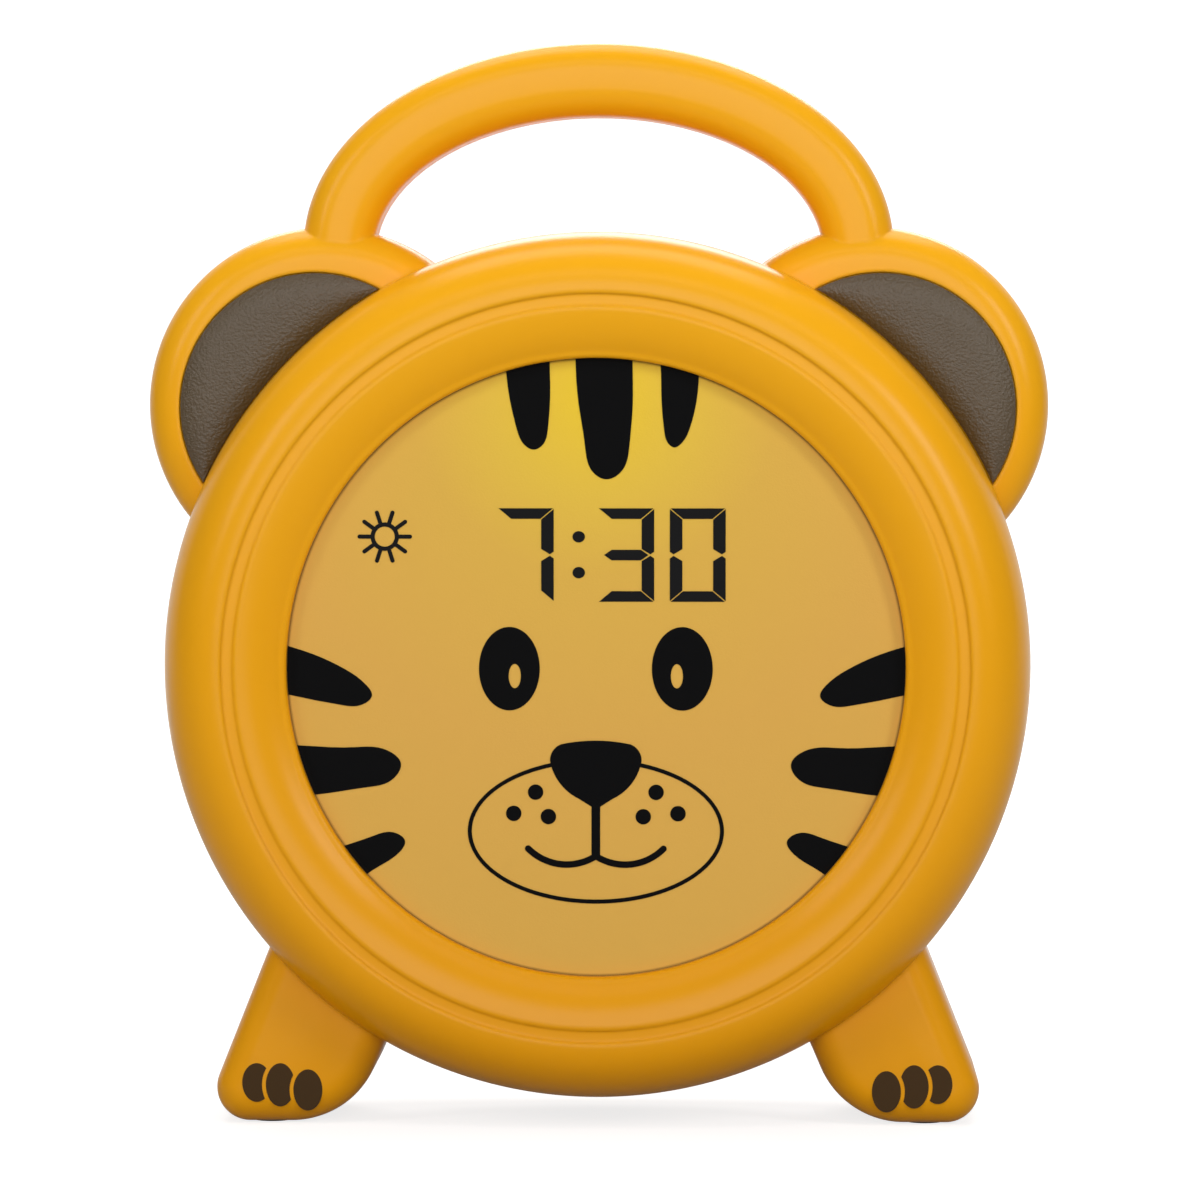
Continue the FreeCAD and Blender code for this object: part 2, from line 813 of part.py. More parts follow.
def rear_housing(shell):
    """The back half, with the battery compartment, control holes, grille and bosses."""
    root_y = rear_y - boss_root
    adds = []
    cuts = []
    for x, z in screw_places():
        boss_back = root_y
        if abs(z - ear_boss_z) < 1e-6:
            boss_back = ear_rear_y - wall + 0.5
        elif abs(z - leg_boss_z) < 1e-6:
            boss_back = leg_rear_y - wall + 0.5
        adds.append(cylinder(rear_boss_radius, x, z, parting_y, boss_back))
        cuts.append(cylinder(screw_radius + bore_gap, x, z, parting_y - 1, screw_seat_y))
        cuts.append(cylinder(screw_head_radius + head_gap, x, z, screw_seat_y, rear_y + 1))
    half = pocket_length / 2
    adds.append(box(-half - pocket_wall, half + pocket_wall, pocket_floor_y - pocket_wall, root_y,
                    pocket_bottom_z - pocket_wall, pocket_top_z + pocket_wall))
    cuts.append(box(-half, half, pocket_floor_y, rear_y, pocket_bottom_z, pocket_top_z))
    cuts.append(door_outline(door_gap, door_inside_y, rear_y + 1))
    tongue_half = door_tongue_width / 2 + door_gap + pocket_wall
    adds.append(box(-tongue_half, tongue_half, door_inside_y - door_tongue_floor, root_y, pocket_top_z,
                    pocket_top_z + pocket_wall + 2 * door_gap + door_tongue_height + pocket_wall))
    door_tip_y = rear_y - door_screw_head_height - door_screw_length
    adds.append(cylinder(boss_radius, 0, door_screw_z, door_tip_y - pilot_spare - 1, root_y))
    cuts.append(cylinder(door_screw_radius + bore_gap, 0, door_screw_z, door_tip_y - pilot_spare, rear_y))
    ends = cell_centres()
    cuts.append(contact_tab(-1, ends[0], bore_gap))
    cuts.append(contact_tab(1, ends[-1], bore_gap))
    for x in button_places():
        cuts.append(cylinder(button_radius + button_gap, x, control_z, back_inside_y - 1, rear_y + 1))
    for x in control_post_places():
        z = control_z + control_post_rise
        adds.append(cylinder(small_boss_radius, x, z, control_board_y, root_y))
        cuts.append(cylinder(small_screw_radius + bore_gap, x, z, control_board_y,
                             control_board_y - board_thickness + small_screw_length + pilot_spare))
    cuts += slider_slot()
    cuts += speaker_slots()
    seat = cylinder(speaker_radius, 0, speaker_z, speaker_seat_y, root_y)
    adds.append(seat.cut(cylinder(speaker_radius - speaker_flange, 0, speaker_z, speaker_seat_y - 1, rear_y)))
    for side in (-1, 1):
        x = side * (speaker_radius + speaker_lug_reach)
        adds.append(cylinder(small_boss_radius, x, speaker_z, speaker_seat_y, root_y))
        cuts.append(cylinder(small_screw_radius + bore_gap, x, speaker_z, speaker_seat_y,
                             speaker_seat_y - speaker_flange_depth + small_screw_length + pilot_spare))
    adds += power_rails()
    mouth_x = socket_width / 2 + socket_gap
    mouth_z = socket_height / 2 + socket_gap
    socket_z = body_centre_z + socket_dz
    cuts.append(box(socket_x - mouth_x, socket_x + mouth_x, back_inside_y - 1, rear_y + 1,
                    socket_z - mouth_z, socket_z + mouth_z))
    cuts += pad_recess(False)
    return half_of(shell, False).fuse(adds).cut(fused(cuts))


def screw(x, z, head_y, towards, radius, head_radius, head_height, length):
    """A pan-head screw along Y: its head starts at head_y and its tip points the given way."""
    under_y = head_y + towards * head_height
    tip_y = under_y + towards * length
    head = cylinder(head_radius, x, z, min(head_y, under_y), max(head_y, under_y))
    drive = cylinder(head_radius * drive_share, x, z, min(head_y, head_y + towards * head_height / 2),
                     max(head_y, head_y + towards * head_height / 2))
    return head.cut(drive).fuse(cylinder(radius, x, z, min(under_y, tip_y), max(under_y, tip_y)))


def housing_screws():
    head_y = screw_seat_y + screw_head_height
    screws = []
    for x, z in screw_places():
        screws.append(screw(x, z, head_y, -1, screw_radius, screw_head_radius,
                            screw_head_height, screw_length))
    return Part.makeCompound(screws)


def small_screw(x, z, seat_y, towards):
    """A board screw whose head rests on the seat and whose tip points the given way."""
    return screw(x, z, seat_y - towards * small_head_height, towards, small_screw_radius,
                 small_head_radius, small_head_height, small_screw_length)


def main_post_places():
    half_x = main_board_width / 2 - main_board_inset
    half_z = main_board_height / 2 - main_board_inset
    return [(side * half_x, body_centre_z + up * half_z) for side in (-1, 1) for up in (-1, 1)]


def board_screws():
    screws = [small_screw(x, z, tray_back_y, -1) for x, z in lug_places()]
    screws += [small_screw(x, z, main_board_y + board_thickness, -1) for x, z in main_post_places()]
    control_seat = control_board_y - board_thickness
    screws += [small_screw(x, control_z + control_post_rise, control_seat, 1) for x in control_post_places()]
    lug_x = speaker_radius + speaker_lug_reach
    flange_y = speaker_seat_y - speaker_flange_depth
    screws += [small_screw(side * lug_x, speaker_z, flange_y, 1) for side in (-1, 1)]
    return Part.makeCompound(screws)


def foot_pad(x, y):
    """A rubber disc sunk into the sole, with a softened lower edge."""
    solid = Part.makeCylinder(pad_radius, pad_height, V(x, y, 0))
    rim = [edge for edge in solid.Edges if edge.BoundBox.ZMax < 0.001]
    return solid.makeChamfer(pad_chamfer, rim)


def face_panel():
    """The round translucent panel that the face is printed on."""
    return cylinder(panel_radius, 0, body_centre_z, panel_front_y, panel_rear_y)


def lamp_places():
    return [polar(lamp_circle, 360.0 * index / lamp_count) for index in range(lamp_count)]


def light_tray():
    """The white tray behind the panel, with lamp holes, board posts and fixing lugs."""
    outer = cylinder(panel_radius, 0, body_centre_z, panel_rear_y, tray_back_y)
    hollow = cylinder(panel_radius - tray_wall, 0, body_centre_z, panel_rear_y - 1, tray_back_y - tray_wall)
    adds = []
    cuts = [hollow]
    for angle in lug_angles:
        reach = lug_circle + small_boss_radius
        lug = box(panel_radius - tray_wall, reach, tray_back_y - tray_wall, tray_back_y,
                  body_centre_z - lug_half_width, body_centre_z + lug_half_width)
        lug.rotate(V(0, 0, body_centre_z), V(0, -1, 0), angle)
        adds.append(lug)
    for x, z in lug_places():
        cuts.append(cylinder(small_screw_radius + head_gap, x, z, crest_y, rear_y))
    for x, z in lamp_places():
        cuts.append(cylinder(lamp_radius + lamp_gap, x, z, tray_back_y - tray_wall - 1, tray_back_y + 1))
    for x, z in main_post_places():
        adds.append(cylinder(small_boss_radius, x, z, tray_back_y - tray_wall / 2, main_board_y))
        cuts.append(cylinder(small_screw_radius + bore_gap, x, z,
                             tray_back_y - tray_wall - 1, main_board_y + 1))
    slot_half = ribbon_width / 2 + head_gap
    cuts.append(box(-slot_half, slot_half, tray_back_y - tray_wall - 1, tray_back_y + 1,
                    display_ribbon_z - ribbon_thickness - head_gap,
                    display_ribbon_z + ribbon_thickness + head_gap))
    return outer.fuse(adds).cut(fused(cuts))


def main_board():
    half_x = main_board_width / 2
    half_z = main_board_height / 2
    board = box(-half_x, half_x, main_board_y, main_board_y + board_thickness,
                body_centre_z - half_z, body_centre_z + half_z)
    holes = []
    for x, z in main_post_places():
        holes.append(cylinder(small_screw_radius + head_gap, x, z, main_board_y - 1,
                              main_board_y + board_thickness + 1))
    return board.cut(fused(holes))


def main_chip():
    """The clock's controller, a flat package on the back of the main board."""
    back = main_board_y + board_thickness
    half = chip_size / 2
    return box(-half, half, back, back + chip_height, body_centre_z - chip_size * 1.5,
               body_centre_z - chip_size * 0.5)


def light_lamps():
    """The round-nosed lamps that light the panel from behind."""
    lamps = []
    for x, z in lamp_places():
        nose_y = main_board_y - lamp_height
        barrel = cylinder(lamp_radius, x, z, nose_y, main_board_y)
        lamps.append(barrel.fuse(Part.makeSphere(lamp_radius, V(x, nose_y, z))))
    return Part.makeCompound(lamps)


def display_frame():
    """The frame that holds the display glass against the back of the panel."""
    half_x = display_width / 2 + bore_gap
    half_z = display_height / 2 + bore_gap
    z = body_centre_z + display_centre_dz
    back = panel_rear_y + display_frame_depth
    edge = display_frame_wall
    outer = box(-half_x - edge, half_x + edge, panel_rear_y, back, z - half_z - edge, z + half_z + edge)
    well = box(-half_x, half_x, panel_rear_y - 1, panel_rear_y + display_thickness + bore_gap,
               z - half_z, z + half_z)
    window = box(-half_x + edge, half_x - edge, panel_rear_y, back + 1, z - half_z + edge, z + half_z - edge)
    return outer.cut(well.fuse(window))


def display_glass():
    half_x = display_width / 2
    half_z = display_height / 2
    z = body_centre_z + display_centre_dz
    return box(-half_x, half_x, panel_rear_y, panel_rear_y + display_thickness, z - half_z, z + half_z)


def display_ribbon():
    """The flat cable from the display glass through the tray to the main board."""
    half = ribbon_width / 2
    return box(-half, half, panel_rear_y + display_thickness, main_board_y,
               display_ribbon_z - ribbon_thickness / 2, display_ribbon_z + ribbon_thickness / 2)


def button(x):
    """A round push button with an inner flange and a stem that reaches its switch."""
    flange_back = back_inside_y - button_flange_play
    flange_front = flange_back - button_flange_depth
    cap = cylinder(button_radius, x, control_z, flange_front, rear_y + button_proud)
    cap = cap.makeFillet(button_edge, flat_edges(cap, [rear_y + button_proud]))
    flange = cylinder(button_radius + button_flange, x, control_z, flange_front, flange_back)
    stem = cylinder(button_stem_radius, x, control_z, flange_front - button_stem_length, flange_front)
    return cap.fuse([flange, stem])


def control_board():
    rows = button_places()
    left = rows[0] - control_board_side
    right = slider_x + slider_case_width / 2 + control_board_side / 2
    low = control_z - control_board_height / 2
    front = control_board_y - board_thickness
    board = box(left, right, front, control_board_y, low, low + control_board_height)
    holes = []
    for x in control_post_places():
        holes.append(cylinder(small_screw_radius + head_gap, x, control_z + control_post_rise,
                              front - 1, control_board_y + 1))
    return board.cut(fused(holes))


def button_switches():
    """One small push switch behind each button."""
    half = switch_size / 2
    switches = []
    body_top = control_board_y + switch_body_height
    for x in button_places():
        body = box(x - half, x + half, control_board_y, body_top, control_z - half, control_z + half)
        plunger = cylinder(switch_plunger_radius, x, control_z, body_top, body_top + switch_plunger_height)
        switches.append(body.fuse(plunger))
    return Part.makeCompound(switches)


def slide_switch_case():
    half_x = slider_case_width / 2
    half_z = slider_case_height / 2
    return box(slider_x - half_x, slider_x + half_x, control_board_y, control_board_y + slider_case_depth,
               control_z - half_z, control_z + half_z)


def slide_switch_knob():
    """The ridged knob of the slide switch, at the left end of its travel."""
    x = slider_x - slider_travel / 2
    half_x = slider_knob_width / 2
    half_z = slider_knob_height / 2
    foot_y = control_board_y + slider_case_depth + bore_gap
    top_y = rear_y - slider_recess_depth + slider_proud
    knob = box(x - half_x, x + half_x, foot_y, top_y, control_z - half_z, control_z + half_z)
    grooves = []
    for step in (-1, 0, 1):
        middle = x + step * slider_knob_width / 4
        grooves.append(box(middle - slider_gap, middle + slider_gap, top_y - slider_proud / 2, top_y + 1,
                           control_z - slider_knob_height, control_z + slider_knob_height))
    return knob.cut(fused(grooves))


def speaker_basket():
    """The steel basket of the loudspeaker with its flange and two fixing lugs."""
    flange_y = speaker_seat_y - speaker_flange_depth
    back_y = speaker_seat_y - speaker_depth
    rim_r = speaker_radius - speaker_flange
    edges_r = [(rim_r, speaker_seat_y), (speaker_radius, speaker_seat_y), (speaker_radius, flange_y),
               (rim_r + speaker_skin, flange_y), (speaker_magnet_radius + speaker_skin, back_y),
               (cone_centre_radius, back_y), (cone_centre_radius, back_y + speaker_skin),
               (speaker_magnet_radius, back_y + speaker_skin), (rim_r, flange_y)]
    solid = turned(edges_r)
    lugs = []
    for side in (-1, 1):
        x = side * (speaker_radius + speaker_lug_reach)
        near = side * (speaker_radius - speaker_flange / 2)
        lug = box(min(x, near), max(x, near), flange_y, speaker_seat_y,
                  speaker_z - small_boss_radius, speaker_z + small_boss_radius)
        lug = lug.fuse(cylinder(small_boss_radius, x, speaker_z, flange_y, speaker_seat_y))
        lugs.append(lug.cut(cylinder(small_screw_radius + head_gap, x, speaker_z, flange_y - 1, rear_y)))
    return solid.fuse(lugs)


def turned(profile):
    """A closed profile of radius and depth points turned about the speaker's axis."""
    points = [V(r, y, 0) for r, y in profile]
    wire = Part.makePolygon(points + [points[0]])
    solid = Part.Face(wire).revolve(V(0, 0, 0), V(0, 1, 0), 360)
    solid.translate(V(0, 0, speaker_z))
    return solid


def speaker_cone():
    """The paper cone, from the basket's rim down to the coil."""
    rim_r = speaker_radius - speaker_flange
    flange_y = speaker_seat_y - speaker_flange_depth
    inner_y = speaker_seat_y - speaker_depth + speaker_skin
    start = flange_y + cone_skin
    foot_r = cone_centre_radius
    return turned([(rim_r, start), (rim_r, start + cone_skin), (foot_r, inner_y + cone_skin * 2),
                   (0, inner_y + cone_skin * 2), (0, inner_y + cone_skin), (foot_r, inner_y + cone_skin)])


def speaker_magnet():
    back_y = speaker_seat_y - speaker_depth
    return cylinder(speaker_magnet_radius, 0, speaker_z, back_y - speaker_magnet_depth, back_y)


def battery_door():
    """The lift-off battery door with its locating rib, screw hole and finger grooves."""
    solid = door_outline(0, door_inside_y, rear_y)
    half = pocket_length / 2 - door_gap
    low = pocket_bottom_z + door_gap
    high = pocket_top_z - door_gap
    rib_y = door_inside_y - door_rib_height
    rib = box(-half, half, rib_y, door_inside_y, low, high)
    rib = rib.cut(box(-half + door_rib, half - door_rib, rib_y - 1, door_inside_y,
                      low + door_rib, high - door_rib))
    cuts = [cylinder(door_screw_radius + bore_gap, 0, door_screw_z, door_inside_y - 1, rear_y + 1),
            cylinder(door_screw_head_radius + head_gap, 0, door_screw_z,
                     rear_y - door_screw_head_height, rear_y + 1)]
    for row in range(3):
        z = pocket_bottom_z + pocket_wall + (row + 1) * grip_pitch
        cuts.append(box(-grip_groove_length / 2, grip_groove_length / 2,
                        rear_y - grip_groove_depth, rear_y + 1, z - grip_groove / 2, z + grip_groove / 2))
    return solid.fuse(rib).cut(fused(cuts))


def battery_door_screw():
    return screw(0, door_screw_z, rear_y, -1, door_screw_radius, door_screw_head_radius,
                 door_screw_head_height, door_screw_length)


def battery_plates():
    """Contact plates at both ends of every cell; two of them have a solder tab."""
    half = plate_width / 2
    ends = cell_centres()
    plates = []
    for z in ends:
        for side in (-1, 1):
            outer = side * pocket_length / 2
            inner = outer - side * plate_thickness
            solid = box(min(outer, inner), max(outer, inner), cell_y - half, cell_y + half,
                        z - half, z + half)
            if (side, z) in ((-1, ends[0]), (1, ends[-1])):
                solid = solid.fuse(contact_tab(side, z, 0))
            plates.append(solid)
    return Part.makeCompound(plates)


def half_turn(x, z, side, rise):
    """One tilted half circle of a coil spring that runs along X."""
    start = V(x, cell_y, z + side * spring_radius)
    centre = V(x + rise / 2, cell_y, z)
    ring = Part.makeCircle(spring_wire_radius, start, V(0, 1, 0))
    axis = (start - centre).cross(V(0, side, 0))
    return Part.Face(Part.Wire(ring)).revolve(centre, axis, 180)


def battery_springs():
    """Coil springs on the plates at the left end."""
    springs = []
    start_x = -pocket_length / 2 + plate_thickness + spring_wire_radius
    rise = (spring_length - 2 * spring_wire_radius) / (2 * spring_turns)
    for z in cell_centres():
        halves = []
        for index in range(2 * spring_turns):
            halves.append(half_turn(start_x + index * rise, z, 1 - 2 * (index % 2), rise))
        springs += fused(halves).Solids
    return Part.makeCompound(springs)


def power_socket():
    """The socket that the power lead plugs into: a steel shell round a contact tongue."""
    half_x = socket_width / 2
    z0 = board_top_z
    z1 = board_top_z + socket_height
    back = rear_y - socket_flush
    front = back - socket_length
    skin = socket_skin
    shell = box(socket_x - half_x, socket_x + half_x, front, back, z0, z1)
    hollow = box(socket_x - half_x + skin, socket_x + half_x - skin, front + skin, back + 1,
                 z0 + skin, z1 - skin)
    middle = (z0 + z1) / 2
    tongue = box(socket_x - half_x / 2, socket_x + half_x / 2, front, back - socket_length / 4,
                 middle - skin, middle + skin)
    return shell.cut(hollow).fuse(tongue)


def power_board():
    half = power_board_width / 2
    back = back_inside_y - socket_gap
    return box(socket_x - half, socket_x + half, back - power_board_depth, back,
               board_top_z - board_thickness, board_top_z)


def wire(points):
    """A round wire along straight runs joined by tangent arcs."""
    edges = []
    start = points[0]
    for index in range(1, len(points) - 1):
        corner = points[index]
        before = (points[index - 1] - corner).normalize()
        after = (points[index + 1] - corner).normalize()
        half_angle = before.getAngle(after) / 2
        reach = wire_bend / math.tan(half_angle)
        first = corner + before * reach
        last = corner + after * reach
        inward = (before + after).normalize()
        middle = corner + inward * (wire_bend / math.sin(half_angle) - wire_bend)
        edges.append(line(start, first))
        edges.append(arc(first, middle, last))
        start = last
    edges.append(line(start, points[-1]))
    spine = Part.Wire(edges)
    direction = points[1] - points[0]
    ring = Part.Wire(Part.makeCircle(wire_radius, points[0], direction))
    return spine.makePipeShell([ring], True, True)


def battery_wires():
    """The two wires from the contact tabs to the main board."""
    ends = cell_centres()
    tab_x = pocket_length / 2 + pocket_wall + tab_reach
    board_y = main_board_y + board_thickness
    wires = []
    turn_x = tab_x + wire_lead
    low, high = ends[0], ends[-1]
    wires.append(wire([V(-tab_x, cell_y, low), V(-turn_x, cell_y, low), V(-turn_x, cell_y, battery_wire_z),
                       V(-turn_x, board_y, battery_wire_z)]))
    wires.append(wire([V(tab_x, cell_y, high), V(turn_x, cell_y, high), V(turn_x, board_y, high)]))
    return Part.makeCompound(wires)


def speaker_wires():
    """The two wires from the speaker's flange down to the main board."""
    flange_y = speaker_seat_y - speaker_flange_depth
    flange_z = speaker_z + speaker_radius - wire_radius
    turn_y = speaker_seat_y - speaker_depth - speaker_magnet_depth - wire_bend
    board_y = main_board_y + board_thickness
    low_z = body_centre_z + main_board_height / 2 - wire_bend
    wires = []
    for side in (-1, 1):
        x = side * wire_spacing
        wires.append(wire([V(x, flange_y, flange_z), V(x, turn_y, flange_z),
                           V(x, turn_y, low_z), V(x, board_y, low_z)]))
    return Part.makeCompound(wires)


def power_wires():
    """The two wires from the power board to the main board."""
    front_y = back_inside_y - socket_gap - power_board_depth
    board_y = main_board_y + board_thickness
    z = board_top_z - board_thickness / 2
    middle_y = (front_y + board_y) / 2
    wires = []
    for step in (0, 1):
        start_x = socket_x + (step - 0.5) * wire_spacing
        end_x = main_board_width / 2 - (1.5 - step) * wire_spacing
        wires.append(wire([V(start_x, front_y, z), V(start_x, middle_y, z),
                           V(end_x, middle_y - wire_step, z), V(end_x, board_y, z)]))
    return Part.makeCompound(wires)


def control_ribbon():
    """The flat cable between the control board and the main board."""
    x = button_places()[4]
    half = ribbon_width / 2
    z = control_z - control_board_height / 4
    return box(x - half, x + half, main_board_y + board_thickness, control_board_y - board_thickness,
               z - ribbon_thickness / 2, z + ribbon_thickness / 2)


def face_point(x, dz):
    return front_point(x, body_centre_z + dz)


def inked(face):
    """A flat front-view shape as a thin layer of ink on the face panel."""
    face.translate(V(0, panel_front_y - ink, 0))
    return face.extrude(V(0, ink, 0))


def ellipse_face(x, dz, half_width, half_height):
    """A full ellipse in the front view."""
    centre = face_point(x, dz)
    edges = [ellipse_arc(centre, half_width, half_height, 0, 180),
             ellipse_arc(centre, half_width, half_height, 180, 360)]
    return Part.Face(Part.Wire(edges))


def disc_face(x, dz, radius):
    """A round disc in the front view."""
    return Part.Face(Part.Wire(Part.makeCircle(radius, face_point(x, dz), V(0, 1, 0))))


def polygon_face(points):
    corners = [face_point(x, dz) for x, dz in points]
    return Part.Face(Part.makePolygon(corners + [corners[0]]))


def stroke(start, middle, end, width):
    """A round-ended pen stroke along an arc through three points of the face."""
    ends = [face_point(*start), face_point(*middle), face_point(*end)]
    centre = arc(*ends).Curve.Center
    sides = []
    for half in (width / 2, -width / 2):
        sides.append([point + (point - centre).normalize() * half for point in ends])
    outer, inner = sides
    along = (ends[0] - centre).cross(ends[1] - centre)
    edges = [arc(*outer), arc(*inner)]
    for index, sign in ((0, -1), (2, 1)):
        tangent = along.cross(ends[index] - centre).normalize() * (sign * width / 2)
        edges.append(arc(outer[index], ends[index] + tangent, inner[index]))
    return Part.Face(Part.Wire(Part.__sortEdges__(edges)))


def nose_face():
    """The nose: a flat brow with round corners over a chin that narrows to the bar below it."""
    edges = [arc(face_point(-nose_brow[0], nose_brow[1]), face_point(0, nose_top_dz), face_point(*nose_brow))]
    for side in (-1, 1):
        brow, corner, wide, cheek, chin = [
            face_point(side * x, dz) for x, dz in (nose_brow, nose_corner, nose_wide, nose_cheek, nose_chin)]
        tip = face_point(side * bar_half_width, nose_tip_dz)
        edges += [arc(brow, corner, wide), arc(wide, cheek, chin), line(chin, tip)]
    edges.append(line(face_point(-bar_half_width, nose_tip_dz), face_point(bar_half_width, nose_tip_dz)))
    return Part.Face(Part.Wire(Part.__sortEdges__(edges)))


def face_print():
    """Eyes, nose, muzzle line, mouth and freckles of the animal face, in black ink."""
    shapes = []
    for side in (-1, 1):
        eye = inked(ellipse_face(side * eye_x, eye_dz, eye_half_width, eye_half_height))
        glint = ellipse_face(side * glint_x, glint_dz, glint_half_width, glint_half_height)
        glint.translate(V(0, panel_front_y - 1, 0))
        shapes.append(eye.cut(glint.extrude(V(0, 2, 0))))
        for x, dz in freckles:
            shapes.append(inked(disc_face(side * x, dz, freckle_radius)))
    muzzle = inked(ellipse_face(0, muzzle_middle_dz, muzzle_half_width, muzzle_drop))
    thin = muzzle_line
    inner = ellipse_face(0, muzzle_middle_dz, muzzle_half_width - thin, muzzle_drop - thin)
    inner.translate(V(0, panel_front_y - 1, 0))
    ring = muzzle.cut(inner.extrude(V(0, 2, 0)))
    nose = inked(nose_face())
    bar = inked(polygon_face([
        (-bar_half_width, nose_tip_dz + 2), (bar_half_width, nose_tip_dz + 2),
        (bar_half_width, bar_end_dz), (-bar_half_width, bar_end_dz)]))
    smile = []
    for side in (-1, 1):
        smile.append(inked(stroke((0, mouth_middle_dz), (side * mouth_low_x, mouth_low_dz),
                                  (side * mouth_end_x, mouth_end_dz), mouth_line)))
    shapes.append(nose.fuse([ring, bar] + smile))
    return Part.makeCompound([solid for shape in shapes for solid in shape.Solids])


def top_stripes():
    """Outlines of the three forehead stripes, which run up past the edge of the opening."""
    return [
        [(-16.2, 56), (-15.4, 49), (-13.9, 42), (-12.6, 39.2), (-10.8, 38.3), (-9.2, 39.3),
         (-8.4, 42), (-8.0, 49), (-8.0, 56)],
        [(-3.7, 58), (-3.1, 47), (-1.9, 39), (-0.7, 34.6), (1.75, 33.1), (4.6, 34.6),
         (5.9, 39), (6.5, 47), (6.6, 58)],
        [(10.9, 56), (11.5, 48), (12.0, 41.6), (12.7, 39.4), (13.7, 38.7), (15.2, 39.6),
         (16.6, 42.4), (17.7, 47), (18.3, 56)],
    ]


def side_stripes():
    """Outlines of the three left cheek stripes; the right ones are their mirror images."""
    return [
        [(-57, 4.5), (-50, 2.4), (-44, -0.4), (-40.6, -2.9), (-39.4, -5.0), (-41.2, -6.6),
         (-45, -6.6), (-50, -5.7), (-57, -4.4)],
        [(-57, -13.4), (-50, -13.9), (-43, -14.1), (-37, -14.5), (-34.3, -17.0), (-36.0, -19.9),
         (-40, -21.1), (-48, -22.3), (-57, -23.4)],
        [(-52, -34.6), (-45, -31.7), (-39.4, -29.8), (-35.6, -29.1), (-33.6, -30.6), (-34.8, -32.8),
         (-38.4, -35.2), (-43, -38.4), (-50, -43.0)],
    ]


def stripe_face(points):
    """A stripe: straight across its cut end and smooth round the rest."""
    curve = Part.BSplineCurve()
    corners = [face_point(x, dz) for x, dz in points]
    curve.interpolate(corners)
    return Part.Face(Part.Wire([curve.toShape(), line(corners[-1], corners[0])]))


def stripe_print():
    """The black stripes, cut off just inside the face opening."""
    disc = cylinder(opening_radius - print_edge_gap, 0, body_centre_z, panel_front_y - 1, panel_rear_y)
    solids = []
    for points in top_stripes():
        solids += inked(stripe_face(points)).common(disc).Solids
    for points in side_stripes():
        stripe = inked(stripe_face(points)).common(disc)
        solids += stripe.Solids
        solids += mirrored(stripe).Solids
    return Part.makeCompound(solids)


def segment_points(name):
    """Corners of one display segment in a digit whose lower left corner is the origin."""
    w, h, b, p = digit_width, digit_height, bar_thickness, post_thickness
    g = segment_gap / 2
    tip = p * tip_share
    cut = p * cut_share
    m = h / 2
    bars = {
        "top": [(g, h), (w - g, h), (w - p - g, h - b), (p + g, h - b)],
        "bottom": [(g, 0), (w - g, 0), (w - p - g, b), (p + g, b)],
        "middle": [(tip + g, m), (p + g, m + b / 2), (w - p - g, m + b / 2), (w - tip - g, m),
                   (w - p - g, m - b / 2), (p + g, m - b / 2)],
        "upper_left": [(0, h - g), (p, h - b - g), (p, m + b / 2 + g), (cut, m + g), (0, m + b / 4 + g)],
        "lower_left": [(0, g), (p, b + g), (p, m - b / 2 - g), (cut, m - g), (0, m - b / 4 - g)],
    }
    for side in ("upper", "lower"):
        bars[side + "_right"] = [(w - x, z) for x, z in bars[side + "_left"]]
    return bars[name]


def digit(x, names):
    """The lit segments of one figure."""
    solids = []
    for name in names:
        corners = [(x + dx, digit_bottom_dz + dz) for dx, dz in segment_points(name)]
        solids.append(inked(polygon_face(corners)))
    return solids


def display_figures():
    """The figures 7:30, dark segments that show on the panel."""
    solids = digit(seven_x, ["top", "upper_right", "lower_right"])
    solids += digit(three_x, ["top", "upper_right", "middle", "lower_right", "bottom"])
    solids += digit(zero_x, ["top", "upper_right", "lower_right", "bottom", "lower_left", "upper_left"])
    for dz in colon_dz:
        x0, x1 = colon_x - colon_half_width, colon_x + colon_half_width
        z0, z1 = dz - colon_half_height, dz + colon_half_height
        solids.append(inked(polygon_face([(x0, z0), (x1, z0), (x1, z1), (x0, z1)])))
    return Part.makeCompound(solids)


def sun_sign():
    """A ring with rays, the sign for daytime."""
    ring = inked(disc_face(sun_x, sun_dz, sun_outer))
    hole = disc_face(sun_x, sun_dz, sun_inner)
    hole.translate(V(0, panel_front_y - 1, 0))
    solids = [ring.cut(hole.extrude(V(0, 2, 0)))]
    half = sun_ray_width / 2
    for index in range(sun_rays):
        ray = inked(polygon_face([
            (sun_x - half, sun_dz + sun_ray_start), (sun_x + half, sun_dz + sun_ray_start),
            (sun_x + half, sun_dz + sun_ray_end - half), (sun_x - half, sun_dz + sun_ray_end - half)]))
        tip = inked(disc_face(sun_x, sun_dz + sun_ray_end - half, half))
        ray = ray.fuse(tip)
        ray.rotate(face_point(sun_x, sun_dz), V(0, 1, 0), index * 360.0 / sun_rays)
        solids += ray.Solids
    return Part.makeCompound(solids)


def toe_print():
    """Three overlapping toe ovals in brown ink on the left leg."""
    toes = []
    previous = None
    for from_heel, z, half_height in zip(toe_from_heel, toe_z, toe_half_height):
        x = from_heel - leg_heel_x
        dz = z - body_centre_z
        face = ellipse_face(x, dz, toe_half_width, half_height)
        face.translate(V(0, leg_front_y - ink, 0))
        toe = face.extrude(V(0, ink, 0))
        if previous:
            toe = toe.cut(previous)
        toes += toe.Solids
        grown = ellipse_face(x, dz, toe_half_width + toe_gap, half_height + toe_gap)
        grown.translate(V(0, leg_front_y - 1, 0))
        previous = grown.extrude(V(0, 2, 0))
    return Part.makeCompound(toes)


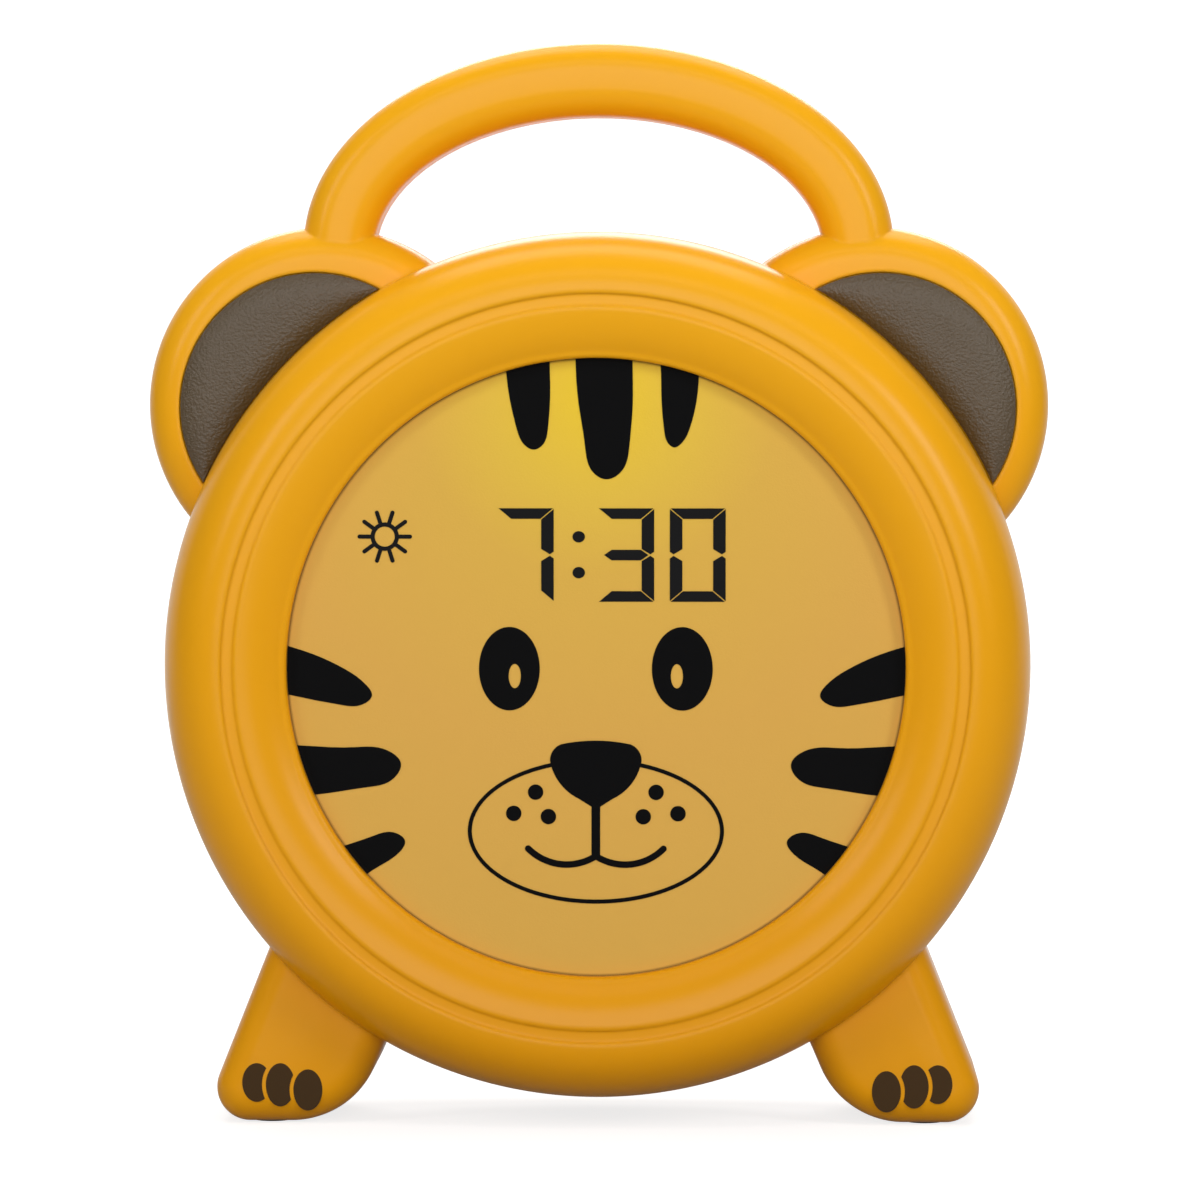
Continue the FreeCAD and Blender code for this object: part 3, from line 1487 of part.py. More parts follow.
def all_nodes():
    """Every separate piece of the clock under its own name."""
    shell = form(0, drum_outside()).cut(form(wall, drum_inside()))
    insert = ear_insert()
    toes = toe_print()
    nodes = {
        "front_housing": front_housing(shell),
        "rear_housing": rear_housing(shell),
        "face_panel": face_panel(),
        "face_print": face_print(),
        "stripe_print": stripe_print(),
        "display_figures": display_figures(),
        "sun_sign": sun_sign(),
        "ear_insert_left": insert,
        "ear_insert_right": mirrored(insert),
        "toe_print_left": toes,
        "toe_print_right": mirrored(toes),
        "light_tray": light_tray(),
        "light_lamps": light_lamps(),
        "display_frame": display_frame(),
        "display_glass": display_glass(),
        "display_ribbon": display_ribbon(),
        "main_board": main_board(),
        "main_chip": main_chip(),
        "control_board": control_board(),
        "button_switches": button_switches(),
        "slide_switch_case": slide_switch_case(),
        "slide_switch_knob": slide_switch_knob(),
        "control_ribbon": control_ribbon(),
        "speaker_basket": speaker_basket(),
        "speaker_cone": speaker_cone(),
        "speaker_magnet": speaker_magnet(),
        "speaker_wires": speaker_wires(),
        "battery_door": battery_door(),
        "battery_door_screw": battery_door_screw(),
        "battery_plates": battery_plates(),
        "battery_springs": battery_springs(),
        "battery_wires": battery_wires(),
        "power_socket": power_socket(),
        "power_board": power_board(),
        "power_wires": power_wires(),
        "housing_screws": housing_screws(),
        "board_screws": board_screws(),
    }
    names = ["button_time", "button_alarm", "button_hour", "button_minute", "button_light", "button_sound"]
    for name, x in zip(names, button_places()):
        nodes[name] = button(x)
    for name, (x, y) in pad_places().items():
        nodes[name] = foot_pad(x, y)
    return nodes


def main():
    os.makedirs("parts", exist_ok=True)
    for name, shape in all_nodes().items():
        shape.exportStep("parts/" + name + ".step")
        print(name, len(shape.Solids), "solids", round(shape.Volume), "mm3")


if __name__ == "__main__":
    main()
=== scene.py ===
# %% [markdown]
# # A tiger alarm clock with a night light
# The object is a moulded desk clock for a child: a round amber body on two splayed feet, two ears with dark
# inserts, a carry handle over the top and a frosted face with a printed muzzle and a digital display.
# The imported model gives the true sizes. This lesson keeps what is exact already. It models again the curved
# shell, the face panel and the ear inserts, where light shows every facet, and the sun sign.

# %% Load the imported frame
import json
import math

import bpy
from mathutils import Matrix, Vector

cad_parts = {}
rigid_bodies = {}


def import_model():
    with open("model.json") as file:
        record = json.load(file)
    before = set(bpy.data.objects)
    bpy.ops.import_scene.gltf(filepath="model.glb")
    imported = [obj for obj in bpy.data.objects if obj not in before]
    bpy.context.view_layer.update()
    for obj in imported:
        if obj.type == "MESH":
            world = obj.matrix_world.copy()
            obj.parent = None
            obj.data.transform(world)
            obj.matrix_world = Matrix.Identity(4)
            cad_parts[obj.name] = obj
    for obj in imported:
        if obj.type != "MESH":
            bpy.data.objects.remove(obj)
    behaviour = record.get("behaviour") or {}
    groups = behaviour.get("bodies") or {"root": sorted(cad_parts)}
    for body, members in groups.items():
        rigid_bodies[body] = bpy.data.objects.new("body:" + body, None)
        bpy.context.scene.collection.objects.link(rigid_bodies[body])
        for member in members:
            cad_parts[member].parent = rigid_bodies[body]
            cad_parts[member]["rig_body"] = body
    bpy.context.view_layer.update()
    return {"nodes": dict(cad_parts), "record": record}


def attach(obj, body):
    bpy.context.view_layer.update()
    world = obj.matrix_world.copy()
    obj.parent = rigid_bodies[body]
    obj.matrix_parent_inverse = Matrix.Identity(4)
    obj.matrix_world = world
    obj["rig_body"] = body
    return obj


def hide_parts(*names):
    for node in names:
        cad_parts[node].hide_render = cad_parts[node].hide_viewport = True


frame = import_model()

MM = 0.001
print("nodes in the frame:", len(frame["nodes"]))

# %% [markdown]
# ## Small helpers
# Every size of the clock is in millimetres, as it would be measured on the object, and is turned into metres
# when a mesh is made. Only the studio is set out in metres. Most colours are written as screen values, and
# one function turns them into linear light.


# %% Mesh helpers
MERGE, MERGE_SPUN = 1e-6, 2e-6


def millimetres(x, y, z):
    """A point in metres from sizes in millimetres."""
    return Vector((x * MM, y * MM, z * MM))


def new_object(name, vertices, faces, edges=()):
    """A mesh object at the origin, with its vertices in the shared frame."""
    mesh = bpy.data.meshes.new(name)
    mesh.from_pydata(vertices, edges, faces)
    mesh.update()
    obj = bpy.data.objects.new(name, mesh)
    bpy.context.scene.collection.objects.link(obj)
    return obj


def make_active(obj):
    """Only this object is selected, and it is the active one."""
    bpy.ops.object.select_all(action="DESELECT")
    obj.select_set(True)
    bpy.context.view_layer.objects.active = obj


def start_edit(obj):
    """Edit mode, with the whole mesh selected."""
    make_active(obj)
    bpy.ops.object.mode_set(mode="EDIT")
    bpy.ops.mesh.select_all(action="SELECT")


def end_edit():
    """Back to object mode."""
    bpy.ops.object.mode_set(mode="OBJECT")


def tidy_normals(obj, merge=MERGE):
    """Merges doubled vertices and turns every face outwards."""
    start_edit(obj)
    bpy.ops.mesh.remove_doubles(threshold=merge)
    bpy.ops.mesh.normals_make_consistent(inside=False)
    end_edit()


def smooth(obj, degrees):
    """Smooth shading that stays sharp where faces meet at more than this angle."""
    make_active(obj)
    bpy.ops.object.shade_smooth_by_angle(angle=math.radians(degrees))


def boolean(obj, tool, operation):
    """Adds or cuts away a tool object, which is then removed."""
    make_active(obj)
    modifier = obj.modifiers.new("shape", "BOOLEAN")
    modifier.operation = operation
    modifier.solver = "EXACT"
    modifier.object = tool
    bpy.ops.object.modifier_apply(modifier=modifier.name)
    mesh = tool.data
    bpy.data.objects.remove(tool)
    bpy.data.meshes.remove(mesh)


def spun(name, profile, centre_x, centre_z, steps):
    """A profile of (radius, y) turned about a line along Y, and closed unless it ends on that line."""
    points = [millimetres(centre_x + r, y, centre_z) for r, y in profile]
    edges = [(i, (i + 1) % len(points)) for i in range(len(points))]
    touches_axis = profile[0][0] == 0 and profile[-1][0] == 0
    if touches_axis:
        edges.pop()
    obj = new_object(name, points, [], edges)
    start_edit(obj)
    centre = millimetres(centre_x, 0, centre_z)
    bpy.ops.mesh.spin(steps=steps, angle=2 * math.pi, center=centre, axis=(0, 1, 0))
    end_edit()
    tidy_normals(obj, MERGE_SPUN)
    return obj


def lofted(name, rings):
    """A skin over rings of points, capped at both ends."""
    count = len(rings[0])
    vertices = [p for ring in rings for p in ring]
    faces = []
    for k in range(len(rings) - 1):
        a = k * count
        b = (k + 1) * count
        for i in range(count):
            j = (i + 1) % count
            faces.append((a + i, a + j, b + j, b + i))
    faces.append(tuple(range(count))[::-1])
    last = (len(rings) - 1) * count
    faces.append(tuple(range(last, last + count)))
    obj = new_object(name, vertices, faces)
    tidy_normals(obj)
    return obj


def drawn_out(name, outline, y0, y1):
    """A front-view outline drawn out between two depths."""
    return lofted(name, [[millimetres(x, y, z) for x, z in outline] for y in (y0, y1)])


# %% Curve helpers
def curve_points(centre, across, deep, start, end, steps):
    """Points on part of an ellipse, from one angle to another in degrees."""
    found = []
    for k in range(steps + 1):
        turn = math.radians(start + (end - start) * k / steps)
        found.append((centre[0] + across * math.cos(turn), centre[1] + deep * math.sin(turn)))
    return found


def quarter(centre, across, deep, start, steps):
    """Points on a quarter of an ellipse, from an angle in degrees."""
    return curve_points(centre, across, deep, start, start + 90, steps)


def oval_outline(centre, across, deep, count):
    """Points all round an ellipse."""
    return curve_points(centre, across, deep, 0, 360 - 360 / count, count - 1)


# %% Material helpers
def linear(hex_colour):
    """Linear RGBA from a screen colour such as F5AC1F."""
    found = []
    for k in (0, 2, 4):
        c = int(hex_colour[k : k + 2], 16) / 255
        found.append(c / 12.92 if c <= 0.04045 else ((c + 0.055) / 1.055) ** 2.4)
    return (*found, 1.0)


def new_material(name):
    """A material with a plain Principled surface, and its node tree."""
    material = bpy.data.materials.new(name)
    material.use_nodes = True
    return material, material.node_tree


def set_values(node, values):
    """Sets the inputs of a shader node by name or number."""
    for key, value in values.items():
        node.inputs[key].default_value = value


def add(tree, kind, values=None, **settings):
    """One shader node with its settings and input values."""
    node = tree.nodes.new(kind)
    for key, value in settings.items():
        setattr(node, key, value)
    set_values(node, values or {})
    return node


def surface(tree):
    """The Principled node of a new material."""
    return tree.nodes["Principled BSDF"]


def plain(name, colour, roughness, **more):
    """A material of one colour, for small or hidden pieces."""
    material, tree = new_material(name)
    set_values(surface(tree), {"Base Color": linear(colour), "Roughness": roughness})
    set_values(surface(tree), {key.replace("_", " "): value for key, value in more.items()})
    return material


def grain(tree, scale, distance, strength):
    """A fine uneven surface from noise, in repeats per metre and metres of height."""
    place = add(tree, "ShaderNodeTexCoord")
    noise = add(tree, "ShaderNodeTexNoise", {"Scale": scale, "Detail": 2.0})
    bump = add(tree, "ShaderNodeBump", {"Strength": strength, "Distance": distance})
    tree.links.new(place.outputs["Object"], noise.inputs["Vector"])
    tree.links.new(noise.outputs["Fac"], bump.inputs["Height"])
    tree.links.new(bump.outputs["Normal"], surface(tree).inputs["Normal"])


def give(obj, material):
    """The piece has this material and no other."""
    obj.data.materials.clear()
    obj.data.materials.append(material)


# %% [markdown]
# ## The amber shell
# The body is a drum with a rolled rim, a raised ring and a stepped opening. A moulder would turn such a form,
# so here its section is drawn once and spun. The ears are spun as well, the handle is a rounded section led
# along half an ellipse, and each leg is a plate with a soft edge. All of them run on behind the parting plane
# and are cut on it, because the real shell is moulded in a front and a rear half.

# %% Sizes of the shell
BODY_R, BODY_Z = 76.8, 81.8
PARTING_Y, BEHIND = -2.0, 3.0
OPENING_R = 54.4
LIP_Y, LIP_ROUND = -23.9, 1.0
CREST_R, CREST_Y, CREST_ROUND = 66.1, -28.0, 0.45
RIM_ACROSS, RIM_DEEP = 10.5, 13.0
GROOVE, GROOVE_FLAT, GROOVE_DEEP = 2.0, 1.6, 0.5
SHOULDER_ACROSS, SHOULDER_DEEP = 0.6, 0.35
BAND_BULGE, BAND_NORMAL = 0.55, (-0.36, -0.93)
PANEL_FRONT_Y, PANEL_R, PANEL_DEEP = -22.4, 57.0, 2.0
PANEL_GAP, PANEL_EDGE = 0.3, 0.4

# %% Sizes of the ears and their inserts
EAR_X, EAR_Z, EAR_R, EAR_EDGE = 48.35, 127.7, 31.65, 6.0
EAR_FRONT_Y = -12.0
INSERT_X, INSERT_Z, INSERT_R = 50.15, 127.3, 23.8
INSERT_GAP, INSERT_RECESS, INSERT_RIM, INSERT_CROWN = 0.25, 1.0, 0.25, 1.3
PAST_FRONT, PAST_BACK = 4.0, 5.0

# %% Sizes of the handle and the legs
# Each curve of the handle has its half width, its rise and the height of its middle.
HANDLE_OUTER = (52.5, 36.3, 155.7)
HANDLE_INNER = (40.0, 24.5, 154.4)
HANDLE_FOOT_Z = 146.0
HANDLE_FRONT_Y, HANDLE_ROUND = -11.0, 5.0
LEG_LEAN, LEG_INSTEP = 21.6, 23.3
LEG_TOP_Z, SOLE_Z = BODY_Z - 45.0, 0.3
SOLE_OUTER_X, SOLE_INNER_X = -70.7, -43.9
OUTER_ROUND, INNER_ROUND = 6.0, 16.0
LEG_FRONT_Y, LEG_EDGE = -16.0, 5.0


# %% Section of the drum
def band(start, end, steps):
    """The slope from the lip to the shoulder, which swells a little between its ends."""
    points = []
    for k in range(1, steps + 1):
        t = k / steps
        bulge = BAND_BULGE * 4 * t * (1 - t)
        r = start[0] + (end[0] - start[0]) * t
        y = start[1] + (end[1] - start[1]) * t
        points.append((r + bulge * BAND_NORMAL[0], y + bulge * BAND_NORMAL[1]))
    return points


def drum_profile():
    """The section of the ring round the face, as (radius, y), from the opening to the side."""
    lip_r = OPENING_R + LIP_ROUND
    groove_r, groove_y = CREST_R - CREST_ROUND, CREST_Y + GROOVE_DEEP
    shoulder_r = groove_r - GROOVE - SHOULDER_ACROSS
    points = [(OPENING_R, BEHIND), (OPENING_R, LIP_Y)]
    points += quarter((lip_r, LIP_Y), LIP_ROUND, LIP_ROUND, 180, 8)[1:]
    points += band((lip_r, LIP_Y - LIP_ROUND), (shoulder_r, groove_y - SHOULDER_DEEP), 16)
    points += quarter((shoulder_r, groove_y), SHOULDER_ACROSS, SHOULDER_DEEP, 270, 6)[1:]
    points += [(groove_r - GROOVE_FLAT, groove_y), (groove_r, groove_y)]
    points += quarter((CREST_R, CREST_Y + CREST_ROUND), CREST_ROUND, CREST_ROUND, 180, 6)[1:]
    points += quarter((CREST_R, CREST_Y + RIM_DEEP), RIM_ACROSS, RIM_DEEP, 270, 32)[1:]
    points += [(BODY_R, PARTING_Y), (BODY_R, BEHIND)]
    return points


drum = spun("shell_front", drum_profile(), 0, BODY_Z, steps=256)
print("drum faces:", len(drum.data.polygons))


# %% Ears
def ear_profile():
    """Half the section of an ear plate with its soft rim."""
    flat_r = EAR_R - EAR_EDGE
    points = [(0, EAR_FRONT_Y), (flat_r, EAR_FRONT_Y)]
    points += quarter((flat_r, EAR_FRONT_Y + EAR_EDGE), EAR_EDGE, EAR_EDGE, 270, 12)[1:]
    points += [(EAR_R, BEHIND), (0, BEHIND)]
    return points


# %% Handle
def handle_spans(steps):
    """Pairs of an outer and an inner point, from the left foot over the top to the right foot."""
    outer_x, outer_rise, outer_z = HANDLE_OUTER
    inner_x, inner_rise, inner_z = HANDLE_INNER
    outer = curve_points((0, outer_z), outer_x, outer_rise, 180, 0, steps)
    inner = curve_points((0, inner_z), inner_x, inner_rise, 180, 0, steps)
    left_foot = ((-outer_x, HANDLE_FOOT_Z), (-inner_x, HANDLE_FOOT_Z))
    right_foot = ((outer_x, HANDLE_FOOT_Z), (inner_x, HANDLE_FOOT_Z))
    return [left_foot, *zip(outer, inner), right_foot]


def handle_rings():
    """Rings of the handle's front half, each a section with two round front edges."""
    round_y = HANDLE_FRONT_Y + HANDLE_ROUND
    rings = []
    for outer, inner in handle_spans(96):
        width = math.dist(outer, inner)
        section = [(0, BEHIND)]
        section += quarter((HANDLE_ROUND, round_y), HANDLE_ROUND, HANDLE_ROUND, 180, 8)
        section += quarter((width - HANDLE_ROUND, round_y), HANDLE_ROUND, HANDLE_ROUND, 270, 8)
        section += [(width, BEHIND)]
        ring = []
        for along, y in section:
            t = along / width
            x = inner[0] + (outer[0] - inner[0]) * t
            z = inner[1] + (outer[1] - inner[1]) * t
            ring.append(millimetres(x, y, z))
        rings.append(ring)
    return rings


# %% Legs
def rounded_corner(corner, before, after, radius, steps):
    """Points on the round of a corner, each with the direction that faces out of it."""
    half = before.angle(after) / 2
    centre = corner + (before + after).normalized() * (radius / math.sin(half))
    first = corner + before * (radius / math.tan(half)) - centre
    last = corner + after * (radius / math.tan(half)) - centre
    a0, a1 = math.atan2(first.y, first.x), math.atan2(last.y, last.x)
    sweep = (a1 - a0 + math.pi) % (2 * math.pi) - math.pi
    points = []
    for k in range(steps + 1):
        a = a0 + sweep * k / steps
        out = Vector((math.cos(a), math.sin(a)))
        points.append((centre + out * radius, out))
    return points


def leg_outline():
    """The left leg in the front view, as points with the outward direction at each."""
    rise = LEG_TOP_Z - SOLE_Z
    corners = [
        (SOLE_OUTER_X + rise * math.tan(math.radians(LEG_LEAN)), LEG_TOP_Z, 0),
        (SOLE_OUTER_X, SOLE_Z, OUTER_ROUND),
        (SOLE_INNER_X, SOLE_Z, INNER_ROUND),
        (SOLE_INNER_X + rise * math.tan(math.radians(LEG_INSTEP)), LEG_TOP_Z, 0),
    ]
    path = []
    for i, (x, z, radius) in enumerate(corners):
        here = Vector((x, z))
        before = (Vector(corners[i - 1][:2]) - here).normalized()
        after = (Vector(corners[(i + 1) % 4][:2]) - here).normalized()
        if radius:
            path += rounded_corner(here, before, after, radius, 24)
        else:
            inward = (before + after).normalized()
            path.append((here, -inward / math.sin(before.angle(after) / 2)))
    return path


def leg_rings(mirror, steps=8):
    """Rings of a leg's front half, drawn in towards the front. A mirror of -1 makes the right leg."""
    path = leg_outline()
    rings = []
    for step in range(steps + 1):
        a = math.radians(90 * step / steps)
        inset = LEG_EDGE * (1 - math.sin(a))
        y = LEG_FRONT_Y + LEG_EDGE * (1 - math.cos(a))
        rings.append([millimetres(mirror * (p.x - out.x * inset), y, p.y - out.y * inset) for p, out in path])
    rings.append([millimetres(mirror * p.x, BEHIND, p.y) for p, out in path])
    return rings


# %% Join the ears, the handle and the legs
for side in (-1, 1):
    boolean(drum, spun("ear", ear_profile(), side * EAR_X, EAR_Z, steps=160), "UNION")
boolean(drum, lofted("handle", handle_rings()), "UNION")
for mirror in (1, -1):
    boolean(drum, lofted("leg", leg_rings(mirror)), "UNION")
print("joined faces:", len(drum.data.polygons))


# %% Hollow, recesses and parting plane
def insert_outline(side, margin):
    """The front view of an ear insert: a disc with the side of the body bitten out of it."""
    disc_r = INSERT_R + margin
    bite_r = BODY_R + INSERT_GAP - margin
    apart = Vector((INSERT_X, INSERT_Z - BODY_Z))
    d = apart.length
    along = (d * d + bite_r * bite_r - disc_r * disc_r) / (2 * d)
    half = math.sqrt(bite_r * bite_r - along * along)
    toward = math.degrees(math.atan2(apart.y, apart.x))
    bite = math.degrees(math.atan2(half, along))
    disc = math.degrees(math.atan2(half, along - d))
    points = curve_points((INSERT_X, INSERT_Z), disc_r, disc_r, toward - disc, toward + disc, 90)
    points += curve_points((0, BODY_Z), bite_r, bite_r, toward + bite, toward - bite, 40)[1:-1]
    return [(side * x, z) for x, z in points]


hollow = oval_outline((0, BODY_Z), PANEL_R + PANEL_GAP, PANEL_R + PANEL_GAP, 200)
boolean(drum, drawn_out("hollow", hollow, PANEL_FRONT_Y, BEHIND + PAST_BACK), "DIFFERENCE")
for side in (-1, 1):
    outline = insert_outline(side, INSERT_GAP)
    recess = drawn_out("recess", outline, EAR_FRONT_Y - PAST_FRONT, EAR_FRONT_Y + INSERT_RECESS)
    boolean(drum, recess, "DIFFERENCE")
start_edit(drum)
bpy.ops.mesh.bisect(
    plane_co=(0, PARTING_Y * MM, 0), plane_no=(0, 1, 0), use_fill=True, clear_outer=True
)
end_edit()
smooth(drum, degrees=32)
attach(drum, "clock")
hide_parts("front_housing")
low, high = drum.bound_box[0], drum.bound_box[6]
print("front shell spans", [round(v / MM, 2) for v in low], [round(v / MM, 2) for v in high])

# %% [markdown]
# ## Face panel and ear inserts
# The panel is a turned disc of frosted plastic with a broken edge, and it has to be truly flat, because the
# print lies on it. The inserts are soft pads with a low crown, so their rings follow the outline inwards
# while the depth comes from how far a point lies from both curved sides.


# %% Face panel
def face_disc():
    """The flat round panel behind the opening."""
    front, back = PANEL_FRONT_Y, PANEL_FRONT_Y + PANEL_DEEP
    profile = [(0, front), (PANEL_R - PANEL_EDGE, front), (PANEL_R, front + PANEL_EDGE)]
    profile += [(PANEL_R, back), (0, back)]
    obj = spun("face_disc", profile, 0, BODY_Z, steps=192)
    smooth(obj, degrees=20)
    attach(obj, "clock")
    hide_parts("face_panel")
    return obj


panel = face_disc()
print("face panel faces:", len(panel.data.polygons))

# %% Ear inserts
INSERT_REACH = math.dist((INSERT_X, INSERT_Z), (0, BODY_Z)) + INSERT_R


def insert_depth(x, z):
    """How much of the full crown stands over a point of the pad: 0 at its rim and 1 on the crown."""
    from_arc = max(0.0, INSERT_R - math.dist((x, z), (INSERT_X, INSERT_Z)))
    from_body = max(0.0, math.dist((x, z), (0, BODY_Z)) - BODY_R - INSERT_GAP)
    widest = INSERT_REACH - BODY_R - INSERT_GAP
    share = 4 * from_arc * from_body / (widest * max(from_arc + from_body, 1e-6))
    return math.sin(math.pi / 2 * min(1.0, share))


def insert_pad(side, name, node, steps=28):
    """One pad: a wall up from the floor of the recess, and rings inwards over the crown."""
    outline = insert_outline(1, 0.0)
    spine = math.atan2(INSERT_Z - BODY_Z, INSERT_X)
    middle_r = (BODY_R + INSERT_GAP + INSERT_REACH) / 2
    middle = (middle_r * math.cos(spine), BODY_Z + middle_r * math.sin(spine))
    floor_y = EAR_FRONT_Y + INSERT_RECESS
    rim_y = EAR_FRONT_Y - INSERT_RIM
    rings = [[millimetres(side * x, y, z) for x, z in outline] for y in (floor_y, rim_y)]
    for k in range(1, steps):
        share = 1 - k / steps
        ring = []
        for x, z in outline:
            px = middle[0] + (x - middle[0]) * share
            pz = middle[1] + (z - middle[1]) * share
            ring.append(millimetres(side * px, rim_y - INSERT_CROWN * insert_depth(px, pz), pz))
        rings.append(ring)
    obj = lofted(name, rings)
    smooth(obj, degrees=40)
    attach(obj, "clock")
    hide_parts(node)
    return obj


pads = [
    insert_pad(-1, "ear_pad_left", "ear_insert_left"),
    insert_pad(1, "ear_pad_right", "ear_insert_right"),
]
print("ear pad faces:", [len(pad.data.polygons) for pad in pads])

# %% [markdown]
# ## Pieces kept from the construction model
# The rear half, the buttons, the battery door and the other small pieces of the outside are right already.
# Their meshes come as loose triangles, so each gets a merged copy with smooth shading that stands for it. The
# printed face, the stripes, the toe prints and the pieces inside show as they are.


# %% Merged copies
def merged_copy(node, name):
    """A joined-up copy of a construction mesh that stands for its node."""
    source = frame["nodes"][node]
    obj = bpy.data.objects.new(name, source.data.copy())
    bpy.context.scene.collection.objects.link(obj)
    obj.data.materials.clear()
    make_active(obj)
    bpy.ops.mesh.customdata_custom_splitnormals_clear()
    tidy_normals(obj)
    smooth(obj, degrees=30)
    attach(obj, source["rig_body"])
    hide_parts(node)
    return obj


rear = merged_copy("rear_housing", "shell_rear")
merged_nodes = ["slide_switch_knob", "battery_door", "battery_door_screw", "housing_screws"]
merged_nodes += ["power_socket", "speaker_cone"]
merged_nodes += ["button_" + use for use in ("time", "alarm", "hour", "minute", "light", "sound")]
merged_nodes += [f"foot_pad_{side}_{end}" for end in ("front", "rear") for side in ("left", "right")]
copies = {node: merged_copy(node, node + "_finished") for node in merged_nodes}
print("merged copies:", len(copies) + 1)

# %% [markdown]
# ## Sun sign and colon
# Both are flat ink on the panel. The sun is a ring with ten round-ended rays that grow out of it, so it is
# drawn again. The figures keep their own outline, and only the two dots between them become oval.

# %% Sizes of the ink
INK_FRONT_Y = PANEL_FRONT_Y - 0.1
SUN_INSET, SUN_RISE = 17.3, 23.0
SUN_X, SUN_Z = SUN_INSET - OPENING_R, BODY_Z + SUN_RISE
SUN_RING, SUN_HOLE = 2.5, 1.76
SUN_RAYS, RAY_END, RAY_HALF = 10, 4.8, 0.36
COLON_X, COLON_REACH, COLON_RISES = -3.0, 1.3, (16.7, 23.0)
DOT_ACROSS, DOT_DEEP = 1.1, 1.0


# %% Sun sign
def ray_outline(turn):
    """A round-ended ray, from inside the ring outwards, turned about the middle of the sun."""
    root = (SUN_RING + SUN_HOLE) / 2
    local = curve_points((RAY_END - RAY_HALF, 0), RAY_HALF, RAY_HALF, -90, 90, 12)
    local = [(root, -RAY_HALF)] + local + [(root, RAY_HALF)]
    c, s = math.cos(turn), math.sin(turn)
    return [(SUN_X + a * c - b * s, SUN_Z + a * s + b * c) for a, b in local]


def sun_sign():
    """The ring and its rays in one flat piece of ink."""
    section = [(SUN_HOLE, INK_FRONT_Y), (SUN_RING, INK_FRONT_Y)]
    section += [(SUN_RING, PANEL_FRONT_Y), (SUN_HOLE, PANEL_FRONT_Y)]
    obj = spun("sun_ink", section, SUN_X, SUN_Z, steps=72)
    for k in range(SUN_RAYS):
        outline = ray_outline(2 * math.pi * k / SUN_RAYS)
        boolean(obj, drawn_out("ray", outline, INK_FRONT_Y, PANEL_FRONT_Y), "UNION")
    smooth(obj, degrees=20)
    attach(obj, "clock")
    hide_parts("sun_sign")
    return obj


sun = sun_sign()
print("sun sign faces:", len(sun.data.polygons))


# %% Figures with oval dots
def figures_with_dots():
    """The figures as they are, with two oval dots in place of the square ones."""
    obj = merged_copy("display_figures", "display_figures_finished")
    start_edit(obj)
    bpy.ops.mesh.select_mode(type="VERT")
    bpy.ops.mesh.select_all(action="DESELECT")
    end_edit()
    for vertex in obj.data.vertices:
        vertex.select = abs(vertex.co.x / MM - COLON_X) < COLON_REACH
    bpy.ops.object.mode_set(mode="EDIT")
    bpy.ops.mesh.delete(type="VERT")
    end_edit()
    dots = []
    for rise in COLON_RISES:
        oval = oval_outline((COLON_X, BODY_Z + rise), DOT_ACROSS, DOT_DEEP, 48)
        dots.append(drawn_out("dot", oval, INK_FRONT_Y, PANEL_FRONT_Y))
    make_active(obj)
    for dot in dots:
        dot.select_set(True)
    bpy.ops.object.join()
    smooth(obj, degrees=20)
    return obj


copies["display_figures"] = figures_with_dots()
print("figure faces:", len(copies["display_figures"].data.polygons))

# %% [markdown]
# ## Materials
# The shell is amber ABS with a satin polish, so it takes wide soft highlights and a pale rim where the white
# backdrop is seen at a grazing angle, and painted light makes it paler high up. The face is frosted
# polycarbonate, with painted light that makes it yellower at the top and a painted shadow line where it meets
# the ring. The inserts are dark brown with a leather grain, the face is printed in flat black ink and the
# toes in brown.

# %% Amber shell
# Painted light: the shell's colour runs from a darker, shaded amber low down to a paler, lit amber high up.
AMBER_SHADED_LOW = (0.80, 0.336, 0.002, 1)
AMBER_LIT_HIGH = (0.90, 0.412, 0.006, 1)
PAINTED_LIGHT_LOW_Z, PAINTED_LIGHT_HIGH_Z = 20.0, 140.0


def amber_shell():
    """Satin amber ABS, softened where two forms meet, with painted light that makes it paler high up."""
    material, tree = new_material("amber_abs")
    shader = surface(tree)
    place = add(tree, "ShaderNodeTexCoord")
    parts = add(tree, "ShaderNodeSeparateXYZ")
    height = add(tree, "ShaderNodeMapRange", {"From Min": PAINTED_LIGHT_LOW_Z * MM, "From Max": PAINTED_LIGHT_HIGH_Z * MM})
    tone = add(tree, "ShaderNodeValToRGB")
    tone.color_ramp.elements[0].color = AMBER_SHADED_LOW
    tone.color_ramp.elements[1].color = AMBER_LIT_HIGH
    tree.links.new(place.outputs["Object"], parts.inputs["Vector"])
    tree.links.new(parts.outputs["Z"], height.inputs["Value"])
    tree.links.new(height.outputs["Result"], tone.inputs["Fac"])
    tree.links.new(tone.outputs["Color"], shader.inputs["Base Color"])
    set_values(shader, {"Roughness": 0.28, "IOR": 1.5, "Specular IOR Level": 0.2})
    soft = add(tree, "ShaderNodeBevel", {"Radius": 0.001}, samples=6)
    tree.links.new(soft.outputs["Normal"], shader.inputs["Normal"])
    return material


# %% Frosted face
# Painted light: the face's colour glows yellow near the top and fades further down.
PAINTED_GLOW_Z, PAINTED_GLOW_REACH = 130.0, 100.0
PAINTED_GLOW_STOPS = [(0.0, "F0CA2C"), (0.18, "E6BE42"), (0.32, "DFB149"), (0.62, "DEAB4E"), (1.0, "DBAB4C")]
# Painted shadow: the face darkens in a thin ring just inside the opening, where the shell's lip meets it.
SHADOW_LINE_FROM, SHADOW_LINE_TO, SHADOW_LINE_STRENGTH = 53.9, 54.3, 0.7
SHADOW_LINE_COLOUR = (0.10, 0.05, 0.01, 1)
MIX_FIRST, MIX_SECOND, MIX_RESULT = 6, 7, 2


